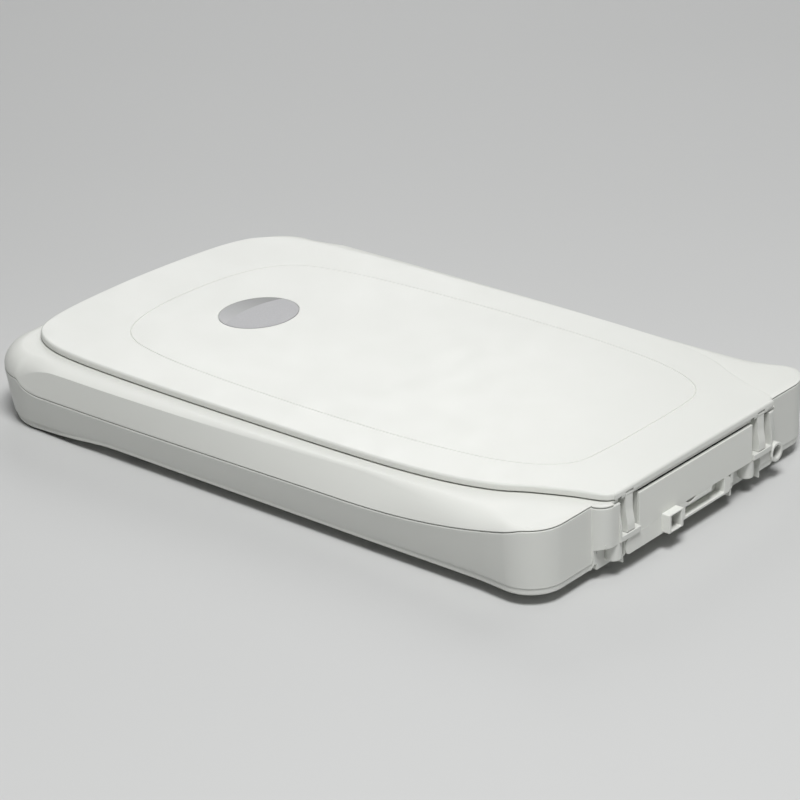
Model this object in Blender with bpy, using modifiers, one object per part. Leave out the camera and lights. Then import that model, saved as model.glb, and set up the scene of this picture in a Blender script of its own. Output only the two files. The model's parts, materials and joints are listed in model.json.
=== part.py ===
"""Legal-size flatbed scanner, modelled as the separate pieces it comes apart into.

Metres, +Z up.  The origin is on the table under the middle of the scanner, +Y points to the hinge and
port end, -Y to the user's end, and +X to the user's right.
"""
import math

import bmesh
import bpy
from mathutils import Matrix, Vector

# ---------------------------------------------------------------- driving dimensions
FRONT_Y = -0.2513            # middle of the bowed front edge
FRONT_BOW = 0.0035           # how far the front edge falls back by its corners
HALF_WIDTH = 0.1500
FRONT_RADIUS = 0.042
REAR_RADIUS = 0.016
WING_Y = 0.2362              # back face of the two rear corners
BLOCK_Y = 0.2457             # back face of the hinge and port block between them
BLOCK_HALF = 0.0965
BLOCK_RADIUS = 0.010
PORT_Y = 0.2513              # rim of the data port's shroud, the rearmost point

TOP_Z = 0.0580               # top of the lid
LID_RIM_Z = 0.0536           # lower edge of the lid
LEDGE_Z = 0.0525             # flat top of the base around the lid
SKIN = 0.0024                # wall of both shells
SHELL_GAP = 0.0004           # seam between the two shells
FIT = 0.0003                 # gap between pieces that touch
FRONT_SEAM_Z = 0.0383
REAR_SEAM_Z = 0.0497
BLOCK_SEAM_Z = 0.0495
NOSE_Y = -0.2070             # front end of the flat band in each side
FLOOR_BOTTOM = 0.0060
FLOOR_TOP = 0.0085
SIDE_BOTTOM = 0.0080         # lower edge of the long sides and the rear corners
FRONT_BOTTOM = 0.0012        # the front skirt comes down almost to the table
BLOCK_BOTTOM = 0.0122

GLASS_HALF, GLASS_FRONT, GLASS_BACK = 0.1150, -0.1810, 0.2000
WINDOW_HALF, WINDOW_FRONT, WINDOW_BACK = 0.1085, -0.1738, 0.1837
GLASS_TOP, GLASS_BOTTOM = 0.0498, 0.0468

HINGE_X = 0.0707             # middle of each hinge post
HINGE_Y, HINGE_Z = 0.2438, 0.0531   # axis of the lid's hinge pins
KNUCKLE = 0.0017             # radius of the hinge knuckles
PIN = 0.0009

CARRIAGE_Y = 0.1900          # middle of the scan head at its home place
CARRIAGE_HALF = 0.0240
CARRIAGE_HALF_X = 0.1100
CARRIAGE_LOW, CARRIAGE_HIGH = 0.0195, 0.0400
ROD_X, ROD_Z, ROD_R = -0.1130, 0.0150, 0.0030
ROD_FRONT, ROD_BACK = -0.2030, 0.2218
BELT_X, BELT_LOW, BELT_HIGH = -0.1270, 0.0240, 0.0300
PULLEY_R = 0.0055
PULLEY_Y, IDLER_Y = -0.2120, 0.2150
GEAR_MODULE, GEAR_TEETH, PINION_TEETH = 0.0006, 54, 12
GEAR_LOW, GEAR_HIGH = 0.0312, 0.0360
MOTOR_X, MOTOR_Y, MOTOR_R = -0.1100, -0.2225, 0.0150
BOARD_Z = 0.0112
BADGE_X, BADGE_Y, BADGE_MIDDLE = 0.0298, 0.0263, -0.1217    # half sizes and middle of the oval badge
FLOOR_INSET = 0.0130         # how far in from the outline the flat floor begins
SHAFT = 0.0010               # radius of the motor's shaft
SPRING_Z = 0.0145


# ---------------------------------------------------------------- scene and materials
for old in list(bpy.data.objects):
    bpy.data.objects.remove(old, do_unlink=True)

PARTS = bpy.data.collections.new("flatbed_scanner")
CUTTERS = bpy.data.collections.new("cutters")
for collection in (PARTS, CUTTERS):
    bpy.context.scene.collection.children.link(collection)


def material(name, colour, roughness, metallic=0.0):
    """A Principled material of one colour."""
    mat = bpy.data.materials.new(name)
    mat.use_nodes = True
    shader = mat.node_tree.nodes["Principled BSDF"]
    shader.inputs["Base Color"].default_value = (*colour, 1.0)
    shader.inputs["Roughness"].default_value = roughness
    shader.inputs["Metallic"].default_value = metallic
    return mat


CASE = material("case_plastic", (0.76, 0.77, 0.74), 0.42)
LID = material("lid_plastic", (0.84, 0.85, 0.82), 0.38)
BADGE = material("badge_silver", (0.45, 0.45, 0.46), 0.3, 0.8)
GLASS = material("platen_glass", (0.70, 0.85, 0.80), 0.05)
FOAM = material("mat_foam", (0.92, 0.92, 0.90), 0.9)
WHITE = material("white_strip", (0.95, 0.95, 0.94), 0.6)
BLACK = material("black_plastic", (0.03, 0.03, 0.032), 0.45)
ACETAL = material("acetal", (0.86, 0.85, 0.80), 0.4)
STEEL = material("steel", (0.62, 0.63, 0.65), 0.28, 1.0)
BRONZE = material("bush_bronze", (0.60, 0.42, 0.22), 0.4, 1.0)
MIRROR = material("mirror_glass", (0.85, 0.87, 0.88), 0.03, 1.0)
RUBBER = material("rubber", (0.05, 0.05, 0.05), 0.85)
BOARD = material("circuit_board", (0.03, 0.22, 0.10), 0.5)
CABLE = material("ribbon_cable", (0.82, 0.82, 0.80), 0.5)
LAMP = material("lamp_glass", (0.95, 0.96, 0.98), 0.15)


# ---------------------------------------------------------------- making and joining shapes
def part(obj, name, mat, carrier=None):
    """File a finished shape as one of the object's pieces, carried by an empty if it moves."""
    obj.name = obj.data.name = name
    obj.data.materials.clear()
    obj.data.materials.append(mat)
    move_to(obj, PARTS)
    if carrier:
        obj.parent = carrier
        obj.matrix_parent_inverse = Matrix.Translation(carrier.location).inverted()
    return obj


def move_to(obj, collection):
    for used in list(obj.users_collection):
        used.objects.unlink(obj)
    collection.objects.link(obj)


def carrier(name, location):
    """An empty on a joint's axis, which the moving pieces hang on."""
    empty = bpy.data.objects.new(name, None)
    empty.location = location
    empty.empty_display_size = 0.02
    PARTS.objects.link(empty)
    return empty


def combine(target, tools, operation):
    """Join tools to target, or cut them from it, with one Boolean each."""
    for tool in tools:
        tool.display_type = "WIRE"
        tool.hide_render = True
        tool.name = f"{operation.lower()}_{len(CUTTERS.objects)}"
        move_to(tool, CUTTERS)
        step = target.modifiers.new(tool.name, "BOOLEAN")
        step.operation = operation
        step.solver = "EXACT"
        step.object = tool
    return target


def join(target, *tools):
    return combine(target, tools, "UNION")


def cut(target, *tools):
    return combine(target, tools, "DIFFERENCE")


def box(low, high, edge=0.0):
    """A block between two corners, with its edges rounded by edge."""
    bpy.ops.mesh.primitive_cube_add(size=1, location=[(a + b) / 2 for a, b in zip(low, high)])
    obj = bpy.context.object
    obj.scale = [b - a for a, b in zip(low, high)]
    bpy.ops.object.transform_apply(location=False, rotation=False, scale=True)
    if edge:
        bevel = obj.modifiers.new("edges", "BEVEL")
        bevel.width = edge
        bevel.segments = 2
    return obj


def rod(start, axis, length, radius, sides=24):
    """A round bar that starts at a point and runs along an axis letter."""
    turn = {"X": (0, math.pi / 2, 0), "Y": (math.pi / 2, 0, 0), "Z": (0, 0, 0)}[axis]
    middle = list(start)
    middle["XYZ".index(axis)] += length / 2
    bpy.ops.mesh.primitive_cylinder_add(
        vertices=sides, radius=radius, depth=length, location=middle, rotation=turn)
    bpy.ops.object.transform_apply(location=False, rotation=True, scale=False)
    return bpy.context.object


def turned(profile, location, steps=32):
    """A body turned about a vertical axis from a closed (radius, height) profile."""
    mesh = bpy.data.meshes.new("turned")
    count = len(profile)
    edges = [(i, (i + 1) % count) for i in range(count)]
    if profile[0][0] == 0.0:
        edges = edges[:-1]
    mesh.from_pydata([(r, 0, z) for r, z in profile], edges, [])
    obj = bpy.data.objects.new("turned", mesh)
    obj.location = location
    PARTS.objects.link(obj)
    screw = obj.modifiers.new("turn", "SCREW")
    screw.steps = screw.render_steps = steps
    screw.use_merge_vertices = True
    screw.merge_threshold = 0.00001
    screw.use_smooth_shade = False
    return obj


def loft(loops, ring=False):
    """A closed body through loops of equally many points; a ring joins its last loop to its first."""
    mesh = bpy.data.meshes.new("loft")
    bm = bmesh.new()
    rows = [[bm.verts.new(point) for point in loop] for loop in loops]
    count = len(rows[0])
    spans = list(zip(rows, rows[1:])) + ([(rows[-1], rows[0])] if ring else [])
    for near, far in spans:
        for i in range(count):
            j = (i + 1) % count
            bm.faces.new((near[i], near[j], far[j], far[i]))
    if not ring:
        caps = [bm.faces.new(list(reversed(rows[0]))), bm.faces.new(rows[-1])]
        bmesh.ops.triangulate(bm, faces=caps)
    bmesh.ops.recalc_face_normals(bm, faces=bm.faces)
    bm.to_mesh(mesh)
    bm.free()
    obj = bpy.data.objects.new("loft", mesh)
    PARTS.objects.link(obj)
    return obj


def prism(outline, low, high, axis="Z"):
    """A flat outline pushed along an axis: (x, y) for Z, (x, z) for Y."""
    if axis == "Z":
        return loft([[(x, y, level) for x, y in outline] for level in (low, high)])
    return loft([[(x, level, z) for x, z in outline] for level in (low, high)])


def arc(centre, radius, start, stop, steps):
    """Points on a circular arc, angles in degrees, both ends included."""
    angles = [math.radians(start + (stop - start) * i / steps) for i in range(steps + 1)]
    return [(centre[0] + radius * math.cos(a), centre[1] + radius * math.sin(a)) for a in angles]


def rounded_rectangle(left, right, front, back, radius, steps=4):
    corners = (((right - radius, front + radius), -90), ((right - radius, back - radius), 0),
               ((left + radius, back - radius), 90), ((left + radius, front + radius), 180))
    return [p for centre, start in corners for p in arc(centre, radius, start, start + 90, steps)]


def plate(left, right, front, back, low, high, radius=0.002, steps=3):
    return prism(rounded_rectangle(left, right, front, back, radius, steps), low, high)


def smooth(points, per_span):
    """A Catmull-Rom curve through half an outline whose two ends lie on the middle plane."""
    ghost = [(-points[1][0], points[1][1])] + points + [(-points[-2][0], points[-2][1])]
    curve = []
    for a, b, c, d in zip(ghost, ghost[1:], ghost[2:], ghost[3:]):
        for i in range(per_span):
            t = i / per_span
            curve.append(tuple(
                0.5 * (2 * b[k] + (c[k] - a[k]) * t + (2 * a[k] - 5 * b[k] + 4 * c[k] - d[k]) * t * t
                       + (3 * b[k] - a[k] - 3 * c[k] + d[k]) * t ** 3) for k in (0, 1)))
    return curve + [points[-1]]


def mirrored(half):
    """The whole loop from the +X half, which runs from the front middle to the back middle."""
    return half + [(-x, y) for x, y in reversed(half[1:-1])]


def inward(loop):
    """The inward direction at each point of a loop, lengthened at corners to keep a wall's width."""
    normals = []
    for i, here in enumerate(loop):
        before, after = Vector(loop[i - 1]), Vector(loop[(i + 1) % len(loop)])
        first = (Vector(here) - before).normalized()
        second = (after - Vector(here)).normalized()
        middle = (first + second).normalized()
        stretch = 1.0 / max(0.6, middle.dot(first))
        normals.append((-middle.y * stretch, middle.x * stretch))
    return normals


def blend(value, start, stop):
    """0 before start, 1 after stop, and a smooth step between."""
    t = min(1.0, max(0.0, (value - start) / (stop - start)))
    return t * t * (3 - 2 * t)


# ---------------------------------------------------------------- the base's outline and sections
SIDE_YS = [-0.2035, -0.199, -0.193, -0.186, -0.178, -0.170, -0.145, -0.115, -0.080, -0.040, 0.000,
           0.040, 0.075, 0.100, 0.120, 0.138, 0.154, 0.168, 0.181, 0.194, 0.207]


def base_outline():
    """Half the plan of the base at its widest level, from the front middle round to the back middle."""
    corner_x = HALF_WIDTH - FRONT_RADIUS
    corner_y = FRONT_Y + FRONT_BOW + FRONT_RADIUS
    front = [(x, FRONT_Y + FRONT_BOW * (x / corner_x) ** 2) for x in (0.0, 0.036, 0.068, 0.092)]
    side = [(HALF_WIDTH, y) for y in SIDE_YS]
    rear = arc((HALF_WIDTH - REAR_RADIUS, WING_Y - REAR_RADIUS), REAR_RADIUS, 0, 90, 6)
    wing = [(0.1160, WING_Y), (BLOCK_HALF + 0.0012, WING_Y)]
    block = arc((BLOCK_HALF - BLOCK_RADIUS, BLOCK_Y - BLOCK_RADIUS), BLOCK_RADIUS, 4, 90, 5)
    back = [(x, BLOCK_Y) for x in (0.0600, 0.0300, 0.0)]
    return (front + arc((corner_x, corner_y), FRONT_RADIUS, -90, 0, 9) + side + rear + wing
            + block + back)


def on_block(x, y):
    return y > WING_Y + 0.0002 and abs(x) < BLOCK_HALF + 0.0006


def quarter(y, front, back):
    """Height share of a quarter ellipse that rises from 0 at front to 1 at back."""
    t = min(1.0, max(0.0, (y - front) / (back - front)))
    return math.sqrt(1.0 - (1.0 - t) ** 2)


def seam_z(x, y):
    """Height of the seam between the shells.

    It runs high across the front, drops round the nose of the flat band in each side, stays nearly
    level along it, and sweeps up to the ledge at the rear corner.
    """
    if on_block(x, y):
        return BLOCK_SEAM_Z
    level = 0.0305 + 0.0029 * blend(y, -0.150, 0.160)
    sweep = 0.0161 * min(1.0, max(0.0, (y - 0.083) / 0.135)) ** 2.3
    side = min(REAR_SEAM_Z, level + sweep)
    return FRONT_SEAM_Z + (side - FRONT_SEAM_Z) * quarter(y, NOSE_Y, -0.186)


def crease_z(y, seam):
    """Height of the crease over the band; in front of the band it lies just above the seam."""
    return seam + 0.0010 + (0.0505 - seam - 0.0010) * quarter(y, NOSE_Y, -0.170)


def bottom_z(x, y):
    if on_block(x, y):
        return BLOCK_BOTTOM
    return FRONT_BOTTOM + (SIDE_BOTTOM - FRONT_BOTTOM) * blend(y, -0.205, -0.118)


def shoulder(x, y):
    """Outer section of the upper shell from the seam up to the ledge, as (inset, height) pairs.

    A flat band leans in from the seam to a crease, and a rounded shoulder runs on from there.  The
    shoulder is a deep dome round the front and narrows to a small radius towards the rear.
    """
    low = seam_z(x, y)
    if on_block(x, y):
        step = (0.0018, 0.0510)     # clears the back edge of the lid as it tips up
        return [(0, low), (0, low + 0.0004), (0, low + 0.0008), (0, step[1]), (step[0] / 2, step[1]),
                step, (step[0], LEDGE_Z - 0.0004), (step[0] + 0.0004, LEDGE_Z)]
    lean = 0.0018 + 0.0126 * min(1.0, max(0.0, (y + 0.130) / 0.314)) ** 1.5
    lean += (0.0050 - lean) * blend(y, 0.186, 0.226)
    lean *= quarter(y, NOSE_Y, -0.170)
    crease = min(crease_z(y, low), LEDGE_Z - 0.0010)
    depth = 0.0140 - 0.0112 * blend(y, -0.150, 0.050)
    points = [(0, low), (lean * 0.48, (low + crease) / 2), (lean, crease)]
    for angle in (25, 48, 67, 81, 90):
        turn = math.radians(angle)
        points.append((lean + depth * (1 - math.cos(turn)), crease + (LEDGE_Z - crease) * math.sin(turn)))
    return points


def lining(x, y):
    """Inner section of the upper shell, a wall's width behind the outer one."""
    outer = shoulder(x, y)
    low = seam_z(x, y)
    roof = LEDGE_Z - SKIN
    if on_block(x, y):
        return [(SKIN + 0.0018, low), (SKIN + 0.0024, low + 0.0002), (SKIN + 0.0030, low + 0.0004),
                (SKIN + 0.0036, roof)]
    rows = [(SKIN, low)]
    for i in (2, 4):
        along = Vector((outer[i + 1][0] - outer[i - 1][0], outer[i + 1][1] - outer[i - 1][1])).normalized()
        rows.append((outer[i][0] + SKIN * along.y,
                     min(roof - 0.0001, max(low + 0.0001 * i, outer[i][1] - SKIN * along.x))))
    return rows + [(outer[-1][0] + SKIN, roof)]


def around(stations, normals, section):
    """Loops round the base: one for each point of the section that section(x, y) gives."""
    rows = [section(x, y) for x, y in stations]
    return [[(x + n[0] * row[i][0], y + n[1] * row[i][0], row[i][1])
             for (x, y), n, row in zip(stations, normals, rows)] for i in range(len(rows[0]))]


def draft(x, y):
    """Share of the walls' inward taper: none on the rear faces."""
    return 1.0 if y < 0.19 else max(0.0, 1.0 - (y - 0.19) / 0.046)


def tub(x, y):
    """Section of the lower shell: under the floor, up the leaning wall, over the seam and down inside."""
    low, taper = bottom_z(x, y), draft(x, y)
    top = seam_z(x, y) - SHELL_GAP
    return [(FLOOR_INSET, FLOOR_BOTTOM), (0.0088, low + (FLOOR_BOTTOM - low) * 0.35),
            (0.0022 + 0.0038 * taper, low), (0.0004 + 0.0041 * taper, low + 0.0030),
            (0.0002 + 0.0036 * taper, low + 0.0042), (0.0, top),
            (SKIN, top), (0.0034 + 0.0034 * taper, max(low + 0.0065, 0.0115)),
            (0.0095, max(low + 0.0025, 0.0100)), (FLOOR_INSET + 0.001, FLOOR_TOP)]


STATIONS = mirrored(base_outline())
NORMALS = inward(STATIONS)


# ---------------------------------------------------------------- casing
SCREW_PLACES = [(side * 0.1385, y) for side in (1, -1) for y in (-0.110, 0.100)]
FRONT_FEET = [(0.1180, -0.1500), (-0.1180, -0.1500)]
REAR_FEET = [(0.1180, 0.1900), (-0.1180, 0.1900)]
COLUMNS = [(0.0800, 0.2404, 0.0245), (-0.0617, 0.2404, 0.0235)]     # rounded pillars, with their tops
COLUMN_R = 0.0053
JACK_X, JACK_Z = -0.0881, 0.0205


def hinge_pockets():
    """Cutters for the T-shaped slot that each hinge post slides in, open at the back and the top."""
    tools = []
    for side in (1, -1):
        for half, front, back in ((0.0095, 0.2390, 0.2480), (0.0107, 0.2328, 0.2394)):
            middle = side * HINGE_X
            tools.append(box((middle - half, front, 0.0280), (middle + half, back, 0.0600)))
    return tools


def lower_shell():
    """The tub: floor, walls, hinge towers, rear pillars in their niches, rail and bosses."""
    loops = around(STATIONS, NORMALS, tub)
    for loop in (loops[0], loops[-1]):      # the floor rises early towards the rear block
        for i, (x, y) in enumerate(STATIONS):
            if on_block(x, y):
                loop[i] = (0.88 * x, BLOCK_Y - 0.030, loop[i][2])
    shell = loft(loops)
    towers = [box((side * HINGE_X - 0.0127, 0.2305, 0.0240), (side * HINGE_X + 0.0127, 0.2440, 0.0491))
              for side in (1, -1)]
    niches = [box((0.0750, 0.2260, 0.0080), (0.0950, 0.2440, 0.0262)),
              box((-0.0722, 0.2260, 0.0080), (-0.0378, 0.2440, 0.0262))]
    swell = [(0.2430, 0.0243), (0.2473, 0.0243), (0.2473, 0.0330), (0.2468, 0.0375), (0.2457, 0.0430),
             (0.2430, 0.0430)]      # the towers stand out a little towards their foot
    faces = [loft([[(side * (HINGE_X + edge), y, z) for y, z in swell] for edge in (-0.0093, 0.0105)])
             for side in (1, -1)]
    boss = rod((JACK_X, 0.2300, JACK_Z), "Y", 0.0172, 0.0066)
    rail = box((0.1110, -0.2000, 0.0080), (0.1150, 0.2200, 0.0170))
    pads = [rod((x, y, 0.0080), "Z", 0.0029, 0.0030, 12) for x in (-0.090, 0.050) for y in (0.130, 0.205)]
    join(shell, *towers, *niches, *faces, boss, rail, *pads)
    panel_bay = [box((-0.0612, 0.2430, 0.0237), (0.0612, 0.2480, 0.0560)),
                 box((-0.0373, 0.2430, 0.0040), (0.0745, 0.2480, 0.0240)),
                 box((-0.0323, 0.2372, 0.0040), (0.0148, 0.2440, 0.0265)),
                 box((0.0237, 0.2225, 0.0128), (0.0359, 0.2440, 0.0257))]
    near_arch = arc((0.0902, 0.0170), 0.0065, 0, 90, 6) + [(0.0755, 0.0235), (0.0755, -0.0020),
                                                          (0.0967, -0.0020)]
    far_arch = rounded_rectangle(-0.0712, -0.0402, -0.0020, 0.0238, 0.0030, 4)
    jack_hole = rod((JACK_X, 0.2290, JACK_Z), "Y", 0.0210, 0.0045)
    arches = [prism(outline, 0.2375, 0.2500, "Y") for outline in (near_arch, far_arch)]
    cut(shell, *panel_bay, *arches, *hinge_pockets(), jack_hole)
    for x, y, top in COLUMNS:
        profile = [(0.0, 0.0116), (COLUMN_R - 0.0012, 0.0116), (COLUMN_R, 0.0128), (COLUMN_R, top), (0.0, top)]
        join(shell, turned(profile, (x, y, 0.0), 20))
    for x, y in SCREW_PLACES:
        cut(shell, rod((x, y, -0.0010), "Z", 0.0088, 0.0038, 16),
            rod((x, y, 0.0060), "Z", 0.0080, 0.0018, 12))
    cut(shell, box((0.0570, 0.0960, 0.0040), (0.0630, 0.1200, 0.0100)))
    return part(shell, "lower_shell", CASE)


def upper_shell():
    """The top cover of the base, with the platen window, the hinge openings and the screw bosses."""
    outer = around(STATIONS, NORMALS, shoulder)
    inner = around(STATIONS, NORMALS, lining)
    shell = loft(list(reversed(inner)) + outer)
    for x, y in SCREW_PLACES:
        top = 0.0508 if y < 0 else 0.0458       # the rear bosses end under the leaning band
        join(shell, rod((x, y, 0.0138), "Z", top - 0.0138, 0.0034, 16))
    window = plate(-WINDOW_HALF, WINDOW_HALF, WINDOW_FRONT, WINDOW_BACK, 0.0450, 0.0600, 0.003)
    cut(shell, window, *hinge_pockets(),
        *[rod((x, y, 0.0090), "Z", 0.0180, 0.0018, 12) for x, y in SCREW_PLACES])
    return part(shell, "upper_shell", CASE)


def rear_panel():
    """The panel between the hinges, with the data port's shroud, the accessory bay and a finger slot."""
    y0, y1 = BLOCK_Y - SKIN, BLOCK_Y
    panel = box((-0.0609, y0, 0.0238), (0.0609, y1, 0.0493))
    lower = rounded_rectangle(-0.0370, 0.0742, 0.0125, 0.0236, 0.0030, 3)
    bridge = box((-0.0340, y0, 0.0200), (0.0609, y1, 0.0300))
    bay = box((-0.0320, 0.2375, 0.0127), (0.0145, y1 - 0.0010, 0.0262))
    shroud = box((0.0222, y0 + 0.0005, 0.0136), (0.0374, PORT_Y, 0.0260))
    join(panel, bridge, prism(lower, y0, y1, "Y"), bay, shroud)
    bay_cut = [box((-0.0300, 0.2390, 0.0139), (-0.0165, 0.2480, 0.0240)),
               box((-0.0200, 0.2390, 0.0139), (0.0125, 0.2480, 0.0208))]
    slot = arc((0.0063, 0.0300), 0.0080, 225, 315, 8)
    cut(panel, *bay_cut, box((0.0246, 0.2400, 0.0146), (0.0350, 0.2540, 0.0250)),
        prism(slot, 0.2350, 0.2480, "Y"))
    return part(panel, "rear_panel", CASE)


def feet():
    """Round rubber pads under the floor, near its four corners."""
    places = (("front_right", FRONT_FEET[0]), ("front_left", FRONT_FEET[1]),
              ("rear_right", REAR_FEET[0]), ("rear_left", REAR_FEET[1]))
    height = FLOOR_BOTTOM - FIT
    for name, (x, y) in places:
        profile = [(0.0, height), (0.0070, height), (0.0080, height - 0.0008), (0.0078, 0.0008),
                   (0.0068, 0.0), (0.0, 0.0)]
        part(turned(profile, (x, y, 0.0), 24), f"foot_{name}", RUBBER)


def shell_screws():
    """Pan-head screws that hold the shells together from below."""
    for number, (x, y) in enumerate(SCREW_PLACES, 1):
        screw = rod((x, y, 0.0058), "Z", 0.0017, 0.0032, 16)
        join(screw, rod((x, y, 0.0070), "Z", 0.0170, 0.0014, 10))
        cut(screw, box((x - 0.0020, y - 0.0004, 0.0050), (x + 0.0020, y + 0.0004, 0.0065)),
            box((x - 0.0004, y - 0.0020, 0.0050), (x + 0.0004, y + 0.0020, 0.0065)))
        part(screw, f"shell_screw_{number}", STEEL)


# ---------------------------------------------------------------- platen
def platen():
    """The glass, the white strip under its back end, and the two rules beside it."""
    part(plate(-GLASS_HALF, GLASS_HALF, GLASS_FRONT, GLASS_BACK, GLASS_BOTTOM, GLASS_TOP),
         "platen_glass", GLASS)
    part(plate(-WINDOW_HALF, WINDOW_HALF, 0.1850, 0.1970, 0.0458, GLASS_BOTTOM - FIT, 0.001),
         "calibration_strip", WHITE)
    rule = LEDGE_Z + 0.0006
    part(plate(0.1100, 0.1160, WINDOW_FRONT, WINDOW_BACK, LEDGE_Z + FIT, rule + FIT, 0.0008),
         "side_rule", ACETAL)
    part(plate(-WINDOW_HALF, WINDOW_HALF, WINDOW_BACK + 0.0015, WINDOW_BACK + 0.0075, LEDGE_Z + FIT,
               rule + FIT, 0.0008), "back_rule", ACETAL)


# ---------------------------------------------------------------- lid
LID_HALF = [(0.0, -0.2414), (0.0580, -0.2388), (0.0930, -0.2330), (0.1115, -0.2228), (0.1235, -0.2013),
            (0.1290, -0.1678), (0.1313, -0.1018), (0.1314, -0.0138), (0.1300, 0.0842), (0.1255, 0.1402),
            (0.1170, 0.1762), (0.1059, 0.1982), (0.0963, 0.2202), (0.0922, 0.2330), (0.0893, 0.2405),
            (0.0850, 0.2443), (0.0790, BLOCK_Y), (0.0, BLOCK_Y)]
GROOVE_HALF = [(0.0, -0.1893), (0.0410, -0.1858), (0.0690, -0.1758), (0.0855, -0.1578), (0.0940, -0.1258),
               (0.0985, -0.0788), (0.1004, -0.0138), (0.1000, 0.0462), (0.0975, 0.1012), (0.0912, 0.1512),
               (0.0800, 0.1832), (0.0650, 0.1992), (0.0450, 0.2037), (0.0, 0.2046)]


def even(curve, count):
    """count points along half an outline, equally far apart."""
    lengths = [0.0]
    for a, b in zip(curve, curve[1:]):
        lengths.append(lengths[-1] + math.dist(a, b))
    points, k = [], 0
    for i in range(count):
        target = lengths[-1] * i / (count - 1)
        while k < len(curve) - 2 and lengths[k + 1] < target:
            k += 1
        t = (target - lengths[k]) / (lengths[k + 1] - lengths[k])
        points.append(tuple(a + (b - a) * t for a, b in zip(curve[k], curve[k + 1])))
    return points


def lid_shell(lid):
    """The lid's cover: a shallow tray with an engraved line on top and moulded hinge ears."""
    outline = mirrored(even(smooth(LID_HALF, 6), 38))
    line = mirrored(even(smooth(GROOVE_HALF, 6), 38))
    edge, line_in = inward(outline), inward(line)

    def ring(loop, normals, inset, z):
        return [(x + n[0] * inset, y + n[1] * inset, z) for (x, y), n in zip(loop, normals)]

    skin = TOP_Z - 0.0015
    shell = loft([ring(line, line_in, 0.0004, TOP_Z), ring(line, line_in, 0.0, TOP_Z - 0.0004),
                  ring(line, line_in, -0.0004, TOP_Z), ring(outline, edge, 0.0022, TOP_Z),
                  ring(outline, edge, 0.0006, TOP_Z - 0.0006), ring(outline, edge, 0.0, TOP_Z - 0.0018),
                  ring(outline, edge, 0.0002, LID_RIM_Z), ring(outline, edge, 0.0020, LID_RIM_Z),
                  ring(outline, edge, 0.0022, skin)])
    for side in (1, -1):
        for inner, outer in ((0.0040, 0.0074), (-0.0074, -0.0040)):
            x0, x1 = side * HINGE_X + inner, side * HINGE_X + outer
            join(shell, rod((x0, HINGE_Y, HINGE_Z), "X", x1 - x0, KNUCKLE, 16),
                 box((x0, HINGE_Y - KNUCKLE, HINGE_Z), (x1, HINGE_Y + KNUCKLE, TOP_Z - 0.0010)))
        x = side * HINGE_X
        cut(shell, box((x - 0.0040, 0.2410, 0.0500), (x + 0.0040, 0.2480, 0.0554)),
            rod((x - 0.0077, HINGE_Y, HINGE_Z), "X", 0.0154, PIN + FIT, 12))
    cut(shell, prism(oval(BADGE_X + FIT, BADGE_Y + FIT), TOP_Z - 0.0006, TOP_Z + 0.0020))
    return part(shell, "lid_shell", LID, lid)


def oval(half_x, half_y, points=40):
    """The badge's outline, near the front of the lid."""
    angles = [2 * math.pi * i / points for i in range(points)]
    return [(half_x * math.cos(a), half_y * math.sin(a) + BADGE_MIDDLE) for a in angles]


def lid_pieces(lid):
    """The lid's cover, the plate inside it, the foam mat and the badge."""
    lid_shell(lid)
    part(plate(-0.1150, 0.1150, -0.2120, 0.1880, 0.0550, 0.0562, 0.030, 6), "lid_liner", CASE, lid)
    part(plate(-0.1070, 0.1070, -0.1720, 0.1820, GLASS_TOP + FIT, 0.0547, 0.004),
         "document_mat", FOAM, lid)
    levels = ((0.0, TOP_Z - 0.0003), (0.0, TOP_Z + 0.0001), (0.0010, TOP_Z + 0.0004))
    badge = loft([[(x, y, z) for x, y in oval(BADGE_X - inset, BADGE_Y - inset)] for inset, z in levels])
    part(badge, "lid_badge", BADGE, lid)


def hinges(posts):
    """Two posts that slide in the towers, each with a steel pin through its knuckle."""
    for side, name in ((1, "right"), (-1, "left")):
        x = side * HINGE_X
        post = box((x - 0.0103, 0.2332, 0.0284), (x + 0.0103, 0.2386, 0.0500), 0.0004)
        web = [(0.2380, 0.0284), (0.2468, 0.0284), (0.2468, 0.0330), (0.2463, 0.0375), (0.2452, 0.0430),
               (0.2452, 0.0505), (0.2380, 0.0505)]
        join(post, loft([[(x + edge, y, z) for y, z in web] for edge in (-0.0036, 0.0036)]),
             box((x - 0.0036, HINGE_Y - KNUCKLE, 0.0500), (x + 0.0036, HINGE_Y + 0.0014, HINGE_Z)),
             rod((x - 0.0036, HINGE_Y, HINGE_Z), "X", 0.0072, KNUCKLE, 16))
        cut(post, rod((x - 0.0060, HINGE_Y, HINGE_Z), "X", 0.0120, PIN + FIT, 12))
        part(post, f"hinge_post_{name}", CASE, posts)
        pin = rod((x - 0.0072, HINGE_Y, HINGE_Z), "X", 0.0144, PIN, 12)
        part(pin, f"hinge_pin_{name}", STEEL, posts)


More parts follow.
